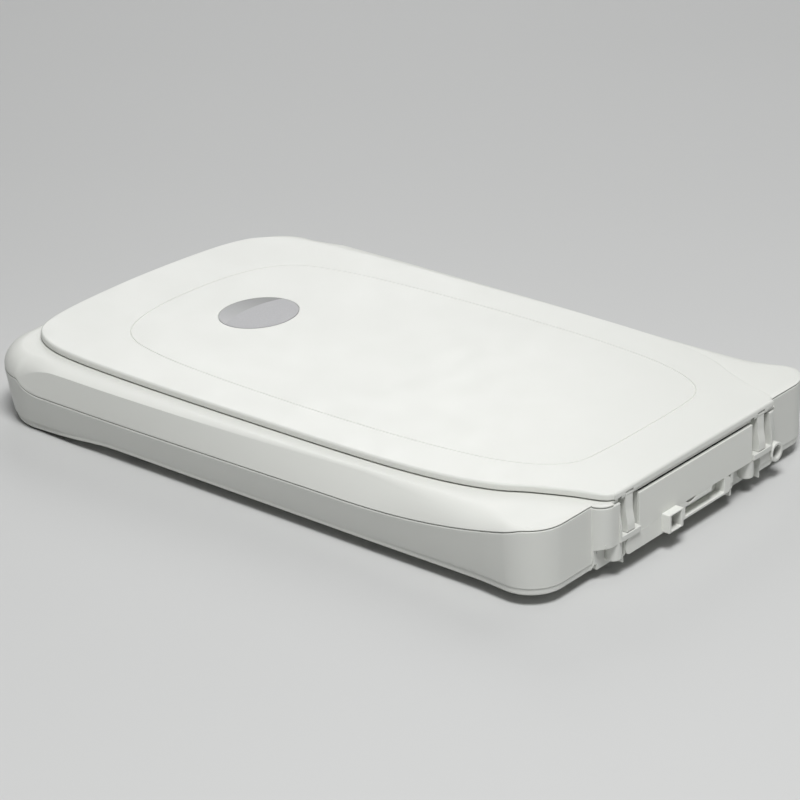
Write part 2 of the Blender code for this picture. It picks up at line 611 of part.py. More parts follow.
# ---------------------------------------------------------------- scan head
def scan_head(head):
    """The carriage with its lamp, folded mirrors, lens, sensor and belt clamp."""
    y, low, high, half = CARRIAGE_Y, CARRIAGE_LOW, CARRIAGE_HIGH, CARRIAGE_HALF
    frame = box((-CARRIAGE_HALF_X, y - half, low), (CARRIAGE_HALF_X, y + half, high), 0.0012)
    join(frame, box((ROD_X - 0.0050, y - half, 0.0105), (ROD_X + 0.0050, y + half, low + 0.0010)))
    cut(frame, box((-0.1080, y - half + 0.002, low - 0.002), (0.1080, y + half - 0.002, high - 0.0018)),
        box((-0.1060, y + 0.0010, high - 0.004), (0.1060, y + 0.0070, high + 0.004)),
        rod((ROD_X, y - half - 0.002, ROD_Z), "Y", 2 * half + 0.004, 0.0046, 20))
    part(frame, "carriage_frame", BLACK, head)
    for name, start in (("front", y - half + 0.0003), ("rear", y + half - 0.0103)):
        bush = rod((ROD_X, start, ROD_Z), "Y", 0.0100, 0.0043, 20)
        cut(bush, rod((ROD_X, start - 0.002, ROD_Z), "Y", 0.0140, ROD_R + FIT, 20))
        part(bush, f"rod_bush_{name}", BRONZE, head)
    part(box((0.1095, y - 0.010, 0.0173), (0.1165, y + 0.010, low - FIT), 0.0004),
         "slide_shoe", ACETAL, head)
    lamp_y, lamp_z, lamp_r = y - 0.0060, 0.0432, 0.0014
    part(rod((-0.1075, lamp_y, lamp_z), "X", 0.2150, lamp_r, 12), "lamp_tube", LAMP, head)
    trough = box((-0.1085, lamp_y - 0.0040, high + FIT), (0.1085, lamp_y + 0.0040, lamp_z + 0.0004))
    cut(trough, box((-0.1060, lamp_y - 0.0025, high + 0.0009), (0.1060, lamp_y + 0.0025, 0.0460)),
        rod((-0.1100, lamp_y, lamp_z), "X", 0.2200, lamp_r + FIT, 12))
    part(trough, "lamp_reflector", WHITE, head)
    mirrors = ((0.0080, 0.0250, 45), (-0.0130, 0.0290, 60), (0.0165, 0.0315, 100))  # place and tilt
    for number, (dy, z, tilt) in enumerate(mirrors, 1):
        strip = box((-0.1040, -0.0050, -0.0010), (0.1040, 0.0050, 0.0010))
        strip.rotation_euler = (math.radians(tilt), 0, 0)
        strip.location = (0, y + dy, z)
        part(strip, f"mirror_{number}", MIRROR, head)
    lens = rod((0.0, y - 0.0060, 0.0300), "Y", 0.0080, 0.0055, 24)
    cut(lens, rod((0.0, y - 0.0080, 0.0300), "Y", 0.0120, 0.0035, 20))
    part(lens, "lens_barrel", BLACK, head)
    sensor = box((-0.0300, y - 0.0215, 0.0205), (0.0300, y - 0.0200, 0.0370))
    join(sensor, box((-0.0150, y - 0.0202, 0.0270), (0.0150, y - 0.0180, 0.0330)))
    part(sensor, "sensor_board", BOARD, head)
    clamp = box((-0.1196, y - 0.006, 0.0220), (-CARRIAGE_HALF_X - FIT, y + 0.006, 0.0325))
    join(clamp, box((-0.1240, y - 0.006, 0.0304), (-0.1180, y + 0.006, 0.0325)),
         box((-0.1240, y - 0.006, 0.0240), (-0.1216, y + 0.006, 0.0320)))
    part(clamp, "belt_clamp", ACETAL, head)


# ---------------------------------------------------------------- drive
def gear_angles(teeth, phase):
    """Four angles a tooth: its two root corners and, between them, its two tips."""
    return [phase + 2 * math.pi * (tooth + share) / teeth
            for tooth in range(teeth) for share in (-0.25, -0.10, 0.10, 0.25)]


def gear_ring(angles, root, tip, z):
    """A toothed loop at one height, or a plain circle where root and tip are the same."""
    radii = (root, tip, tip, root)
    return [(radii[i % 4] * math.cos(a), radii[i % 4] * math.sin(a), z) for i, a in enumerate(angles)]


def gear(teeth, phase, hub_radius, hub_low, bore, location):
    """A spur gear over a plain hub, with a bore; its teeth are slimmer than the spaces between them."""
    angles = gear_angles(teeth, phase)
    pitch = GEAR_MODULE * teeth / 2
    root, tip = pitch - 0.0006, pitch + 0.0005
    body = loft([gear_ring(angles, root, tip, GEAR_LOW), gear_ring(angles, root, tip, GEAR_HIGH),
                 gear_ring(angles, bore, bore, GEAR_HIGH), gear_ring(angles, bore, bore, hub_low),
                 gear_ring(angles, hub_radius, hub_radius, hub_low),
                 gear_ring(angles, hub_radius, hub_radius, GEAR_LOW)], ring=True)
    body.location = (*location, 0)
    return body


def gears_and_motor():
    """The motor with its pinion, the driven gear with its pulley, and the plate that carries both."""
    reach = math.atan2(MOTOR_Y - PULLEY_Y, MOTOR_X - BELT_X)
    driven = gear(GEAR_TEETH, reach, PULLEY_R, BELT_LOW, 0.0018, (BELT_X, PULLEY_Y))
    part(driven, "drive_gear", ACETAL)
    part(rod((BELT_X, PULLEY_Y, 0.0231), "Z", 0.0140, 0.0015, 16), "gear_axle", STEEL)
    mesh_phase = reach + math.pi + math.pi / PINION_TEETH       # a space faces the gear's tooth
    pinion = gear(PINION_TEETH, mesh_phase, 0.0018, 0.0290, SHAFT + FIT, (MOTOR_X, MOTOR_Y))
    part(pinion, "motor_pinion", BRONZE)
    bracket = rod((MOTOR_X, MOTOR_Y, 0.0213), "Z", 0.0015, 0.0160, 32)
    join(bracket, rod((BELT_X, PULLEY_Y, 0.0213), "Z", 0.0015, 0.0070),
         rod((MOTOR_X + 0.0110, MOTOR_Y + 0.0080, 0.0213), "Z", 0.0015, 0.0070))
    cut(bracket, rod((MOTOR_X, MOTOR_Y, 0.0200), "Z", 0.0040, 0.0050))
    part(bracket, "motor_bracket", STEEL)
    motor = rod((MOTOR_X, MOTOR_Y, 0.0110), "Z", 0.0100, MOTOR_R, 32)
    join(motor, rod((MOTOR_X, MOTOR_Y, 0.0200), "Z", 0.0060, 0.0045),
         rod((MOTOR_X, MOTOR_Y, 0.0250), "Z", 0.0100, SHAFT, 12))
    part(motor, "stepper_motor", STEEL)


def belt_run(radius, z):
    """A loop round both pulleys at one height."""
    ends = arc((BELT_X, IDLER_Y), radius, 0, 180, 12) + arc((BELT_X, PULLEY_Y), radius, 180, 360, 12)
    return [(*point, z) for point in ends]


def belt_and_idler():
    """The belt, and the sprung slide at the back whose idler keeps it tight."""
    outer, inner = PULLEY_R + 0.0015, PULLEY_R + FIT
    belt = loft([belt_run(outer, BELT_LOW), belt_run(outer, BELT_HIGH),
                 belt_run(inner, BELT_HIGH), belt_run(inner, BELT_LOW)], ring=True)
    part(belt, "drive_belt", RUBBER)
    wheel = [(PULLEY_R, BELT_HIGH), (PULLEY_R, BELT_LOW), (0.0016, BELT_LOW), (0.0016, BELT_HIGH)]
    part(turned(wheel, (BELT_X, IDLER_Y, 0)), "idler_pulley", ACETAL)
    part(rod((BELT_X, IDLER_Y, 0.0192), "Z", 0.0120, 0.0012, 16), "idler_axle", STEEL)
    slide = box((BELT_X - 0.0050, IDLER_Y - 0.0045, 0.0170),
                (BELT_X + 0.0050, IDLER_Y + 0.0045, 0.0189), 0.0004)
    join(slide, box((BELT_X - 0.0015, IDLER_Y - 0.0040, 0.0120),
                    (BELT_X + 0.0015, IDLER_Y + 0.0040, 0.0175)))
    part(slide, "idler_slide", ACETAL)
    tension_spring()


def guide():
    """The steel rod that the scan head runs on, and the two clips that hold its ends."""
    bar = rod((ROD_X, ROD_FRONT, ROD_Z), "Y", ROD_BACK - ROD_FRONT, ROD_R, 24)
    part(bar, "guide_rod", STEEL)
    for name, start in (("front", ROD_FRONT - 0.0005), ("rear", ROD_BACK - 0.0074)):
        clip = box((ROD_X - 0.0060, start, FLOOR_TOP + FIT), (ROD_X + 0.0060, start + 0.0080, 0.0200),
                   0.0006)
        cut(clip, rod((ROD_X, start - 0.002, ROD_Z), "Y", 0.0120, ROD_R + FIT, 24))
        part(clip, f"rod_clip_{name}", ACETAL)


def tension_spring():
    """A short coil that pulls the idler slide back and keeps the belt tight."""
    coils, radius, wire = 5, 0.0016, 0.0003
    start, pitch = IDLER_Y - 0.0125, 0.0013
    curve = bpy.data.curves.new("coil", "CURVE")
    curve.dimensions = "3D"
    curve.bevel_depth = wire
    curve.bevel_resolution = 1
    curve.use_fill_caps = True
    spline = curve.splines.new("POLY")
    count = coils * 8 + 1
    spline.points.add(count - 1)
    for i, point in enumerate(spline.points):
        angle = 2 * math.pi * i / 8
        point.co = (BELT_X + radius * math.cos(angle), start + pitch * i / 8,
                    SPRING_Z + radius * math.sin(angle), 1)
    obj = bpy.data.objects.new("tension_spring", curve)
    PARTS.objects.link(obj)
    part(obj, "tension_spring", STEEL)


# ---------------------------------------------------------------- electronics and lock
def electronics():
    """The board with its chips, and the two sockets that open through the back."""
    board = box((-0.1000, 0.1200, BOARD_Z), (0.0600, 0.2200, BOARD_Z + 0.0016))
    chips = ((-0.030, 0.150, -0.004, 0.176, 0.0148), (0.010, 0.140, 0.026, 0.152, 0.0140),
             (-0.075, 0.160, -0.055, 0.170, 0.0140), (-0.086, 0.186, -0.066, 0.198, 0.0150))
    join(board, *[box((x0, y0, BOARD_Z + 0.0008), (x1, y1, top)) for x0, y0, x1, y1, top in chips])
    part(board, "main_board", BOARD)
    usb = box((0.0240, 0.2230, 0.0131), (0.0356, 0.2430 - FIT, 0.0254))
    cut(usb, box((0.0253, 0.2300, 0.0152), (0.0343, 0.2460, 0.0242)))
    join(usb, box((0.0274, 0.2290, 0.0180), (0.0322, 0.2415, 0.0212)))
    part(usb, "usb_socket", STEEL)
    jack = box((JACK_X - 0.0044, 0.2150, 0.0131), (JACK_X + 0.0044, 0.2297, 0.0260))
    join(jack, rod((JACK_X, 0.2280, JACK_Z), "Y", 0.0140, 0.0041, 20))
    cut(jack, rod((JACK_X, 0.2320, JACK_Z), "Y", 0.0140, 0.0031, 20))
    join(jack, rod((JACK_X, 0.2310, JACK_Z), "Y", 0.0100, 0.0010, 12))
    part(jack, "power_jack", BLACK)


def ribbon(head):
    """The flat cable between the board and the scan head, folded while the head is at home."""
    steps, start, stop = 24, 0.1670, 0.2050
    top, bottom = [], []
    for i in range(steps + 1):
        t = i / steps
        y = start + (stop - start) * t
        z = 0.0166 + 0.0012 * math.cos(t * 6 * math.pi)
        top.append((y, z + 0.0002))
        bottom.append((y, z - 0.0002))
    outline = top + list(reversed(bottom))
    cable = loft([[(x, y, z) for y, z in outline] for x in (0.0300, 0.0500)])
    part(cable, "ribbon_cable", CABLE, head)


def transport_lock(lock):
    """The slider under the floor that holds the scan head while the scanner travels."""
    slider = box((0.0573, 0.0963, 0.0050), (0.0627, 0.1083, 0.0095))
    join(slider, box((0.0540, 0.0950, 0.0038), (0.0660, 0.1096, 0.0057), 0.0005),
         box((0.0545, 0.0955, 0.0088), (0.0655, 0.1091, 0.0105)))
    part(slider, "transport_lock", BLACK, lock)


# ---------------------------------------------------------------- the whole scanner
lower_shell()
upper_shell()
rear_panel()
feet()
shell_screws()
platen()
LID_CARRIER = carrier("lid_hinge_axis", (0, HINGE_Y, HINGE_Z))
POST_CARRIER = carrier("hinge_post_slide", (0, HINGE_Y, 0.0284))
HEAD_CARRIER = carrier("scan_head_slide", (ROD_X, CARRIAGE_Y, ROD_Z))
LOCK_CARRIER = carrier("transport_lock_slide", (0.0600, 0.1023, 0.0072))
lid_pieces(LID_CARRIER)
hinges(POST_CARRIER)
scan_head(HEAD_CARRIER)
gears_and_motor()
belt_and_idler()
guide()
electronics()
ribbon(HEAD_CARRIER)
transport_lock(LOCK_CARRIER)
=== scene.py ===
"""Looks of the flatbed scanner: fine shells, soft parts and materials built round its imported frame.

Metres, +Z up.  The origin is on the table under the middle of the scanner, +Y points to the hinge and
port end and +X to the user's right.
"""
import json
import math

import bmesh
import bpy
from mathutils import Matrix, Vector


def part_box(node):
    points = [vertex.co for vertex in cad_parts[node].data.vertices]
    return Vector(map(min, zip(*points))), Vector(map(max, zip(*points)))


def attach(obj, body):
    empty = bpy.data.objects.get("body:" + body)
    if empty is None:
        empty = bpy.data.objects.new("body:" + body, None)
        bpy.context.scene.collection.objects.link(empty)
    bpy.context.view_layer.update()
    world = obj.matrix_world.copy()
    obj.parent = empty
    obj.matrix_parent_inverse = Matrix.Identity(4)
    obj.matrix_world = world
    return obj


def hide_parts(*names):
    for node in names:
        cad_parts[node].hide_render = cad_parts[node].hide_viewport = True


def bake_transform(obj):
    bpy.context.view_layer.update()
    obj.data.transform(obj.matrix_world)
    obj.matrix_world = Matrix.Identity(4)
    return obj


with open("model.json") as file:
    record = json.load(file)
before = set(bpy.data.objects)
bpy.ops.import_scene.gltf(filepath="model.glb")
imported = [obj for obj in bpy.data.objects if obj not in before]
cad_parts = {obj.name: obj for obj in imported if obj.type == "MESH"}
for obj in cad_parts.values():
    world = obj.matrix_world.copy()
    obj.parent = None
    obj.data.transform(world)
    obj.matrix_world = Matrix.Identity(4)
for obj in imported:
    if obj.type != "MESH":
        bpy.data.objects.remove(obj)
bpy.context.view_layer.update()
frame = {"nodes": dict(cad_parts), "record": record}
NODES = frame["nodes"]


# ---------------------------------------------------------------- sizes, from the frame where it has them
def low(node):
    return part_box(node)[0]


def high(node):
    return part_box(node)[1]


HALF_WIDTH = high("lower_shell").x
FRONT_Y = low("lower_shell").y
BLOCK_Y = high("upper_shell").y      # back face of the hinge and port block
PORT_Y = high("rear_panel").y
TOP_Z = high("lid_shell").z
LEDGE_Z = high("upper_shell").z      # flat top of the base round the lid
LID_RIM_Z = 0.0536                   # lower edge of the lid, above which its hinge ears begin
FIT = 0.0003
SKIN = 0.0024
SEAM_GAP = 0.0005

FRONT_BOW = 0.0035                   # how far the front edge falls back by its corners
FRONT_RADIUS = 0.0460
REAR_RADIUS = 0.0260
WING_Y = 0.2362                      # back face of the two rear corners
BLOCK_HALF = 0.0965
BLOCK_RADIUS = 0.0100
NOSE_Y = -0.2070                     # front end of the flat band in each side
BAND_TOP = 0.0505                    # height of the crease over the band
FRONT_SEAM_Z = 0.0383
REAR_SEAM_Z = 0.0512
BLOCK_SEAM_Z = 0.0508
FLOOR_BOTTOM, FLOOR_TOP = 0.0060, 0.0085
FLOOR_INSET = 0.0130
SIDE_BOTTOM = 0.0080
FRONT_BOTTOM = 0.0012
BLOCK_BOTTOM = 0.0122

FAR_BLOCK = 0.0040                   # the block's -X corner stands this much further in than the other
RELIEF_HALF = 0.0868                 # the ledge behind the hinge line is cut away over this half width,
RELIEF_BOTTOM = 0.0485               # down to here, for the lid's rear lip as it swings down
RULE_BACK = 0.1560                   # the side rule ends here, under the lid where it narrows
WINDOW_HALF, WINDOW_FRONT, WINDOW_BACK = 0.1085, -0.1738, 0.1837
HINGE_X, HINGE_Y, HINGE_Z = 0.0707, 0.2438, 0.0531
KNUCKLE, PIN = 0.0017, 0.0009
JACK_X, JACK_Z = -0.0881, 0.0205
SCREW_PLACES = [(side * 0.1385, y) for side in (1, -1) for y in (-0.110, 0.100)]
PILLARS = [(0.0800, 0.2404, 0.0245), (-0.0617, 0.2404, 0.0235)]     # under the rear block, with their tops
PILLAR_R = 0.0053
BADGE_X = (high("lid_badge").x - low("lid_badge").x) / 2
BADGE_Y = (high("lid_badge").y - low("lid_badge").y) / 2
BADGE_MIDDLE = (high("lid_badge").y + low("lid_badge").y) / 2


# ---------------------------------------------------------------- camera, light and floor
def camera():
    """The camera stands behind the scanner and to its right, a little above it."""
    azimuth, elevation, roll = math.radians(130.80), math.radians(23.22), math.radians(-1.884)
    back = Vector((math.sin(azimuth) * math.cos(elevation), -math.cos(azimuth) * math.cos(elevation),
                   math.sin(elevation)))
    right = Vector((0, 0, 1)).cross(back).normalized()
    up = back.cross(right)
    turned_right = math.cos(roll) * right + math.sin(roll) * up
    turned_up = -math.sin(roll) * right + math.cos(roll) * up
    data = bpy.data.cameras.new("camera")
    data.lens, data.sensor_width = 123.75, 36.0
    data.shift_x, data.shift_y = -0.0136, -0.0420
    obj = bpy.data.objects.new("camera", data)
    obj.matrix_world = (Matrix.Translation((1.270, 1.112, 0.772))
                        @ Matrix((turned_right, turned_up, back)).transposed().to_4x4())
    bpy.context.scene.collection.objects.link(obj)
    bpy.context.scene.camera = obj


def softbox(name, place, target, size, power):
    data = bpy.data.lights.new(name, "AREA")
    data.shape = "RECTANGLE"
    data.size, data.size_y = size
    data.energy = power
    obj = bpy.data.objects.new(name, data)
    obj.location = place
    obj.rotation_euler = (Vector(target) - Vector(place)).to_track_quat("-Z", "Y").to_euler()
    bpy.context.scene.collection.objects.link(obj)


def studio():
    """A key light high on the camera's side and weak fills from the two far sides."""
    softbox("softbox_key", (0.80, 0.90, 2.20), (0, 0, 0), (0.75, 0.75), 51)
    softbox("softbox_left", (-1.70, 0.10, 1.70), (0, 0, 0), (1.6, 1.6), 9)
    softbox("softbox_front", (0.20, -1.90, 1.50), (0, 0, 0), (1.6, 1.6), 3)
    softbox("softbox_far", (-1.50, -1.50, 1.20), (0, 0, 0), (1.0, 1.0), 9)
    world = bpy.data.worlds.new("studio")
    world.use_nodes = True
    world.node_tree.nodes["Background"].inputs["Color"].default_value = (0.97, 0.985, 1.0, 1)
    world.node_tree.nodes["Background"].inputs["Strength"].default_value = 0.06
    bpy.context.scene.world = world
    bpy.context.scene.view_settings.view_transform = "Standard"


# ---------------------------------------------------------------- numbers and curves
def spaced(first, last, count):
    return [first + (last - first) * i / (count - 1) for i in range(count)]


def step(value, start, stop):
    """0 before start, 1 after stop, and a smooth step between; start may be the larger."""
    t = min(1.0, max(0.0, (value - start) / (stop - start)))
    return t * t * (3 - 2 * t)


def arc(centre, radius, start, stop, count):
    """count + 1 points on a circular arc, angles in degrees."""
    return [(centre[0] + radius * math.cos(math.radians(a)), centre[1] + radius * math.sin(math.radians(a)))
            for a in spaced(start, stop, count + 1)]


def smooth(points, per_span):
    """A Catmull-Rom curve through half an outline whose two ends lie on the middle plane."""
    ghost = [(-points[1][0], points[1][1])] + points + [(-points[-2][0], points[-2][1])]
    curve = []
    for a, b, c, d in zip(ghost, ghost[1:], ghost[2:], ghost[3:]):
        for i in range(per_span):
            t = i / per_span
            curve.append(tuple(
                0.5 * (2 * b[k] + (c[k] - a[k]) * t + (2 * a[k] - 5 * b[k] + 4 * c[k] - d[k]) * t * t
                       + (3 * b[k] - a[k] - 3 * c[k] + d[k]) * t ** 3) for k in (0, 1)))
    return curve + [points[-1]]


def even(curve, count):
    """count points along an open line, equally far apart."""
    lengths = [0.0]
    for a, b in zip(curve, curve[1:]):
        lengths.append(lengths[-1] + math.dist(a, b))
    points, k = [], 0
    for target in spaced(0.0, lengths[-1], count):
        while k < len(curve) - 2 and lengths[k + 1] < target:
            k += 1
        t = (target - lengths[k]) / max(1e-9, lengths[k + 1] - lengths[k])
        points.append(tuple(a + (b - a) * t for a, b in zip(curve[k], curve[k + 1])))
    return points


def relaxed(points, passes):
    """The same line with its bends eased; its two ends stay."""
    for _ in range(passes):
        inner = [tuple((a[k] + 2 * b[k] + c[k]) / 4 for k in (0, 1))
                 for a, b, c in zip(points, points[1:], points[2:])]
        points = [points[0]] + inner + [points[-1]]
    return points


def mirrored(half):
    """The whole loop from the +X half, which runs from the front middle to the back middle."""
    return half + [(-x, y) for x, y in reversed(half[1:-1])]


def inward(loop):
    """The inward direction at each point of a loop, lengthened at corners to keep a wall's width."""
    normals = []
    for i, here in enumerate(loop):
        before, after = Vector(loop[i - 1]), Vector(loop[(i + 1) % len(loop)])
        first = (Vector(here) - before).normalized()
        second = (after - Vector(here)).normalized()
        middle = (first + second).normalized()
        stretch = 1.0 / max(0.6, middle.dot(first))
        normals.append((-middle.y * stretch, middle.x * stretch))
    return normals


def rounded_rectangle(left, right, front, back, radius, count=6):
    corners = (((right - radius, front + radius), -90), ((right - radius, back - radius), 0),
               ((left + radius, back - radius), 90), ((left + radius, front + radius), 180))
    return [p for centre, start in corners for p in arc(centre, radius, start, start + 90, count)]


# ---------------------------------------------------------------- meshes
def loft(name, loops, ring=False, ends=True):
    """A body through loops of equally many points; a ring joins its last loop to its first."""
    bm = bmesh.new()
    rows = [[bm.verts.new(point) for point in loop] for loop in loops]
    count = len(rows[0])
    spans = list(zip(rows, rows[1:])) + ([(rows[-1], rows[0])] if ring else [])
    for near, far in spans:
        for i in range(count):
            j = (i + 1) % count
            bm.faces.new((near[i], near[j], far[j], far[i]))
    if ends and not ring:
        bm.faces.new(list(reversed(rows[0])))
        bm.faces.new(rows[-1])
    bmesh.ops.recalc_face_normals(bm, faces=bm.faces)
    mesh = bpy.data.meshes.new(name)
    bm.to_mesh(mesh)
    bm.free()
    obj = bpy.data.objects.new(name, mesh)
    bpy.context.scene.collection.objects.link(obj)
    return obj


def prism(outline, first, last, axis="Z"):
    """A flat outline pushed along an axis: (x, y) for Z, (x, z) for Y."""
    if axis == "Z":
        return loft("prism", [[(x, y, level) for x, y in outline] for level in (first, last)])
    return loft("prism", [[(x, level, z) for x, z in outline] for level in (first, last)])


def box(first, last, edge=0.0, segments=3):
    """A block between two corners, with its edges rounded by edge."""
    bm = bmesh.new()
    bmesh.ops.create_cube(bm, size=1.0)
    for vert in bm.verts:
        vert.co = Vector([(a + b) / 2 + c * (b - a) for a, b, c in zip(first, last, vert.co)])
    if edge:
        bmesh.ops.bevel(bm, geom=list(bm.edges), offset=edge, segments=segments, profile=0.5,
                        affect="EDGES")
    mesh = bpy.data.meshes.new("box")
    bm.to_mesh(mesh)
    bm.free()
    obj = bpy.data.objects.new("box", mesh)
    bpy.context.scene.collection.objects.link(obj)
    return obj


def turned(name, profile, axis, place, sides=48):
    """A solid turned about an axis from (distance along it, radius) pairs, closed by its two ends."""
    along = "XYZ".index(axis)
    across = [k for k in range(3) if k != along]
    loops = []
    for distance, radius in profile:
        loop = []
        for i in range(sides):
            angle = 2 * math.pi * i / sides
            point = list(place)
            point[along] += distance
            point[across[0]] += radius * math.cos(angle)
            point[across[1]] += radius * math.sin(angle)
            loop.append(tuple(point))
        loops.append(loop)
    return loft(name, loops)


def flared(outline, inner_z, edge_z, radius, axis="Z", count=5):
    """A cutter whose mouth opens in a round of that radius at edge_z, so that the hole's rim is soft."""
    outward = 1 if edge_z > inner_z else -1
    normals = inward(outline)
    levels = [(0.0, inner_z)]
    for a in spaced(0, 90, count):
        turn = math.radians(a)
        levels.append((radius * (1 - math.cos(turn)), edge_z - outward * radius * (1 - math.sin(turn))))
    levels.append((radius, edge_z + outward * 0.004))
    loops = []
    for grow, level in levels:
        flat = [(x - n[0] * grow, y - n[1] * grow) for (x, y), n in zip(outline, normals)]
        loops.append([(x, y, level) if axis == "Z" else (x, level, y) for x, y in flat])
    return loft("flared", loops)


def carve(target, joined=(), cuts=()):
    """Join tools to target and cut others from it, and keep the result as a plain mesh."""
    tools = [(tool, "UNION") for tool in joined] + [(tool, "DIFFERENCE") for tool in cuts]
    for tool, operation in tools:
        modifier = target.modifiers.new(operation, "BOOLEAN")
        modifier.operation, modifier.solver, modifier.object = operation, "EXACT", tool
    settle(target)
    for tool, _ in tools:
        bpy.data.objects.remove(tool, do_unlink=True)
    return target


def settle(obj):
    """Replace an object's mesh by what its modifiers make of it."""
    bpy.context.view_layer.update()
    evaluated = obj.evaluated_get(bpy.context.evaluated_depsgraph_get())
    mesh = bpy.data.meshes.new_from_object(evaluated)
    obj.modifiers.clear()
    obj.data = mesh
    return obj


def shaded(obj, sharp=35):
    """Smooth shading that stays flat on large faces and sharp across hard edges."""
    mesh = obj.data
    mesh.shade_smooth()
    mesh.set_sharp_from_angle(angle=math.radians(sharp))
    weighted = obj.modifiers.new("weighted_normals", "WEIGHTED_NORMAL")
    weighted.keep_sharp = True
    weighted.weight = 60
    return obj


def placed(obj, name, material, body, replaces=()):
    """Name a finished piece, give it its material, and let it ride on its body."""
    obj.name = obj.data.name = name
    obj.data.materials.clear()
    obj.data.materials.append(material)
    shaded(obj)
    if body:
        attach(obj, body)
    if replaces:
        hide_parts(*replaces)
    return obj


# ---------------------------------------------------------------- materials
class Nodes:
    """A material's node tree, with short ways to add what these plastics and metals need."""

    def __init__(self, name, colour, roughness, metallic=0.0, **fixed):
        self.material = bpy.data.materials.new(name)
        self.material.use_nodes = True
        self.tree = self.material.node_tree
        self.shader = self.tree.nodes["Principled BSDF"]
        self.shader.inputs["Base Color"].default_value = (*colour, 1.0)
        self.shader.inputs["Roughness"].default_value = roughness
        self.shader.inputs["Metallic"].default_value = metallic
        for key, value in fixed.items():
            self.shader.inputs[key.replace("_", " ")].default_value = value
        self.place = self.tree.nodes.new("ShaderNodeTexCoord").outputs["Object"]

    def add(self, kind, inputs=None, **settings):
        node = self.tree.nodes.new(kind)
        for key, value in settings.items():
            setattr(node, key, value)
        for key, value in (inputs or {}).items():
            if isinstance(value, bpy.types.NodeSocket):
                self.tree.links.new(value, node.inputs[key])
            else:
                node.inputs[key].default_value = value
        return node

    def noise(self, scale, detail=2.0, stretch=(1, 1, 1)):
        """Noise with features about 1 / scale metres across, drawn out along an axis by stretch."""
        mapping = self.add("ShaderNodeMapping", {"Vector": self.place, "Scale": stretch})
        return self.add("ShaderNodeTexNoise", {"Vector": mapping.outputs["Vector"], "Scale": scale,
                                               "Detail": detail}).outputs["Fac"]

    def spread(self, value, dark, light):
        """A ramp from one colour to another over the middle of a noise."""
        ramp = self.add("ShaderNodeValToRGB", {"Fac": value})
        ramp.color_ramp.elements[0].position, ramp.color_ramp.elements[1].position = 0.3, 0.7
        ramp.color_ramp.elements[0].color = (*dark, 1)
        ramp.color_ramp.elements[1].color = (*light, 1)
        return ramp.outputs["Color"]

    def grey(self, value, least, most):
        return self.add("ShaderNodeMapRange", {"Value": value, "From Min": 0.3, "From Max": 0.7,
                                               "To Min": least, "To Max": most}).outputs["Result"]

    def link(self, output, socket):
        self.tree.links.new(output, self.shader.inputs[socket])

    def bump(self, height, depth):
        """Relief of that depth in metres from a height that runs from 0 to 1."""
        node = self.add("ShaderNodeBump", {"Height": height, "Distance": depth, "Strength": 1.0})
        self.link(node.outputs["Normal"], "Normal")


def shaded_colour(colour, share):
    return tuple(min(1.0, c * share) for c in colour)


def moulded(name, colour, roughness, grain=0.000012, sheen_spread=0.05):
    """Moulded plastic: a fine spark-eroded grain, slight unevenness of tone and of gloss."""
    nodes = Nodes(name, colour, roughness, Specular_IOR_Level=0.42)
    cloud = nodes.noise(9.0, 3.0)
    nodes.link(nodes.spread(cloud, shaded_colour(colour, 0.985), shaded_colour(colour, 1.01)), "Base Color")
    nodes.link(nodes.grey(nodes.noise(60.0, 4.0), roughness - sheen_spread, roughness + sheen_spread),
               "Roughness")
    nodes.bump(nodes.noise(2200.0, 3.0), grain)
    return nodes.material


def metal(name, colour, roughness, stretch=(1, 1, 1), scale=900.0, depth=0.000004):
    """Metal with fine marks drawn out along an axis."""
    nodes = Nodes(name, colour, roughness, 1.0)
    marks = nodes.noise(scale, 4.0, stretch)
    nodes.link(nodes.spread(marks, shaded_colour(colour, 0.88), colour), "Base Color")
    nodes.link(nodes.grey(marks, roughness * 0.75, roughness * 1.35), "Roughness")
    nodes.bump(marks, depth)
    return nodes.material


def sintered():
    """Porous bronze."""
    colour = (0.58, 0.39, 0.18)
    nodes = Nodes("sintered_bronze", colour, 0.42, 1.0)
    pores = nodes.add("ShaderNodeTexVoronoi", {"Vector": nodes.place, "Scale": 3200.0}).outputs["Distance"]
    nodes.link(nodes.spread(pores, shaded_colour(colour, 0.45), colour), "Base Color")
    nodes.bump(pores, 0.00002)
    return nodes.material


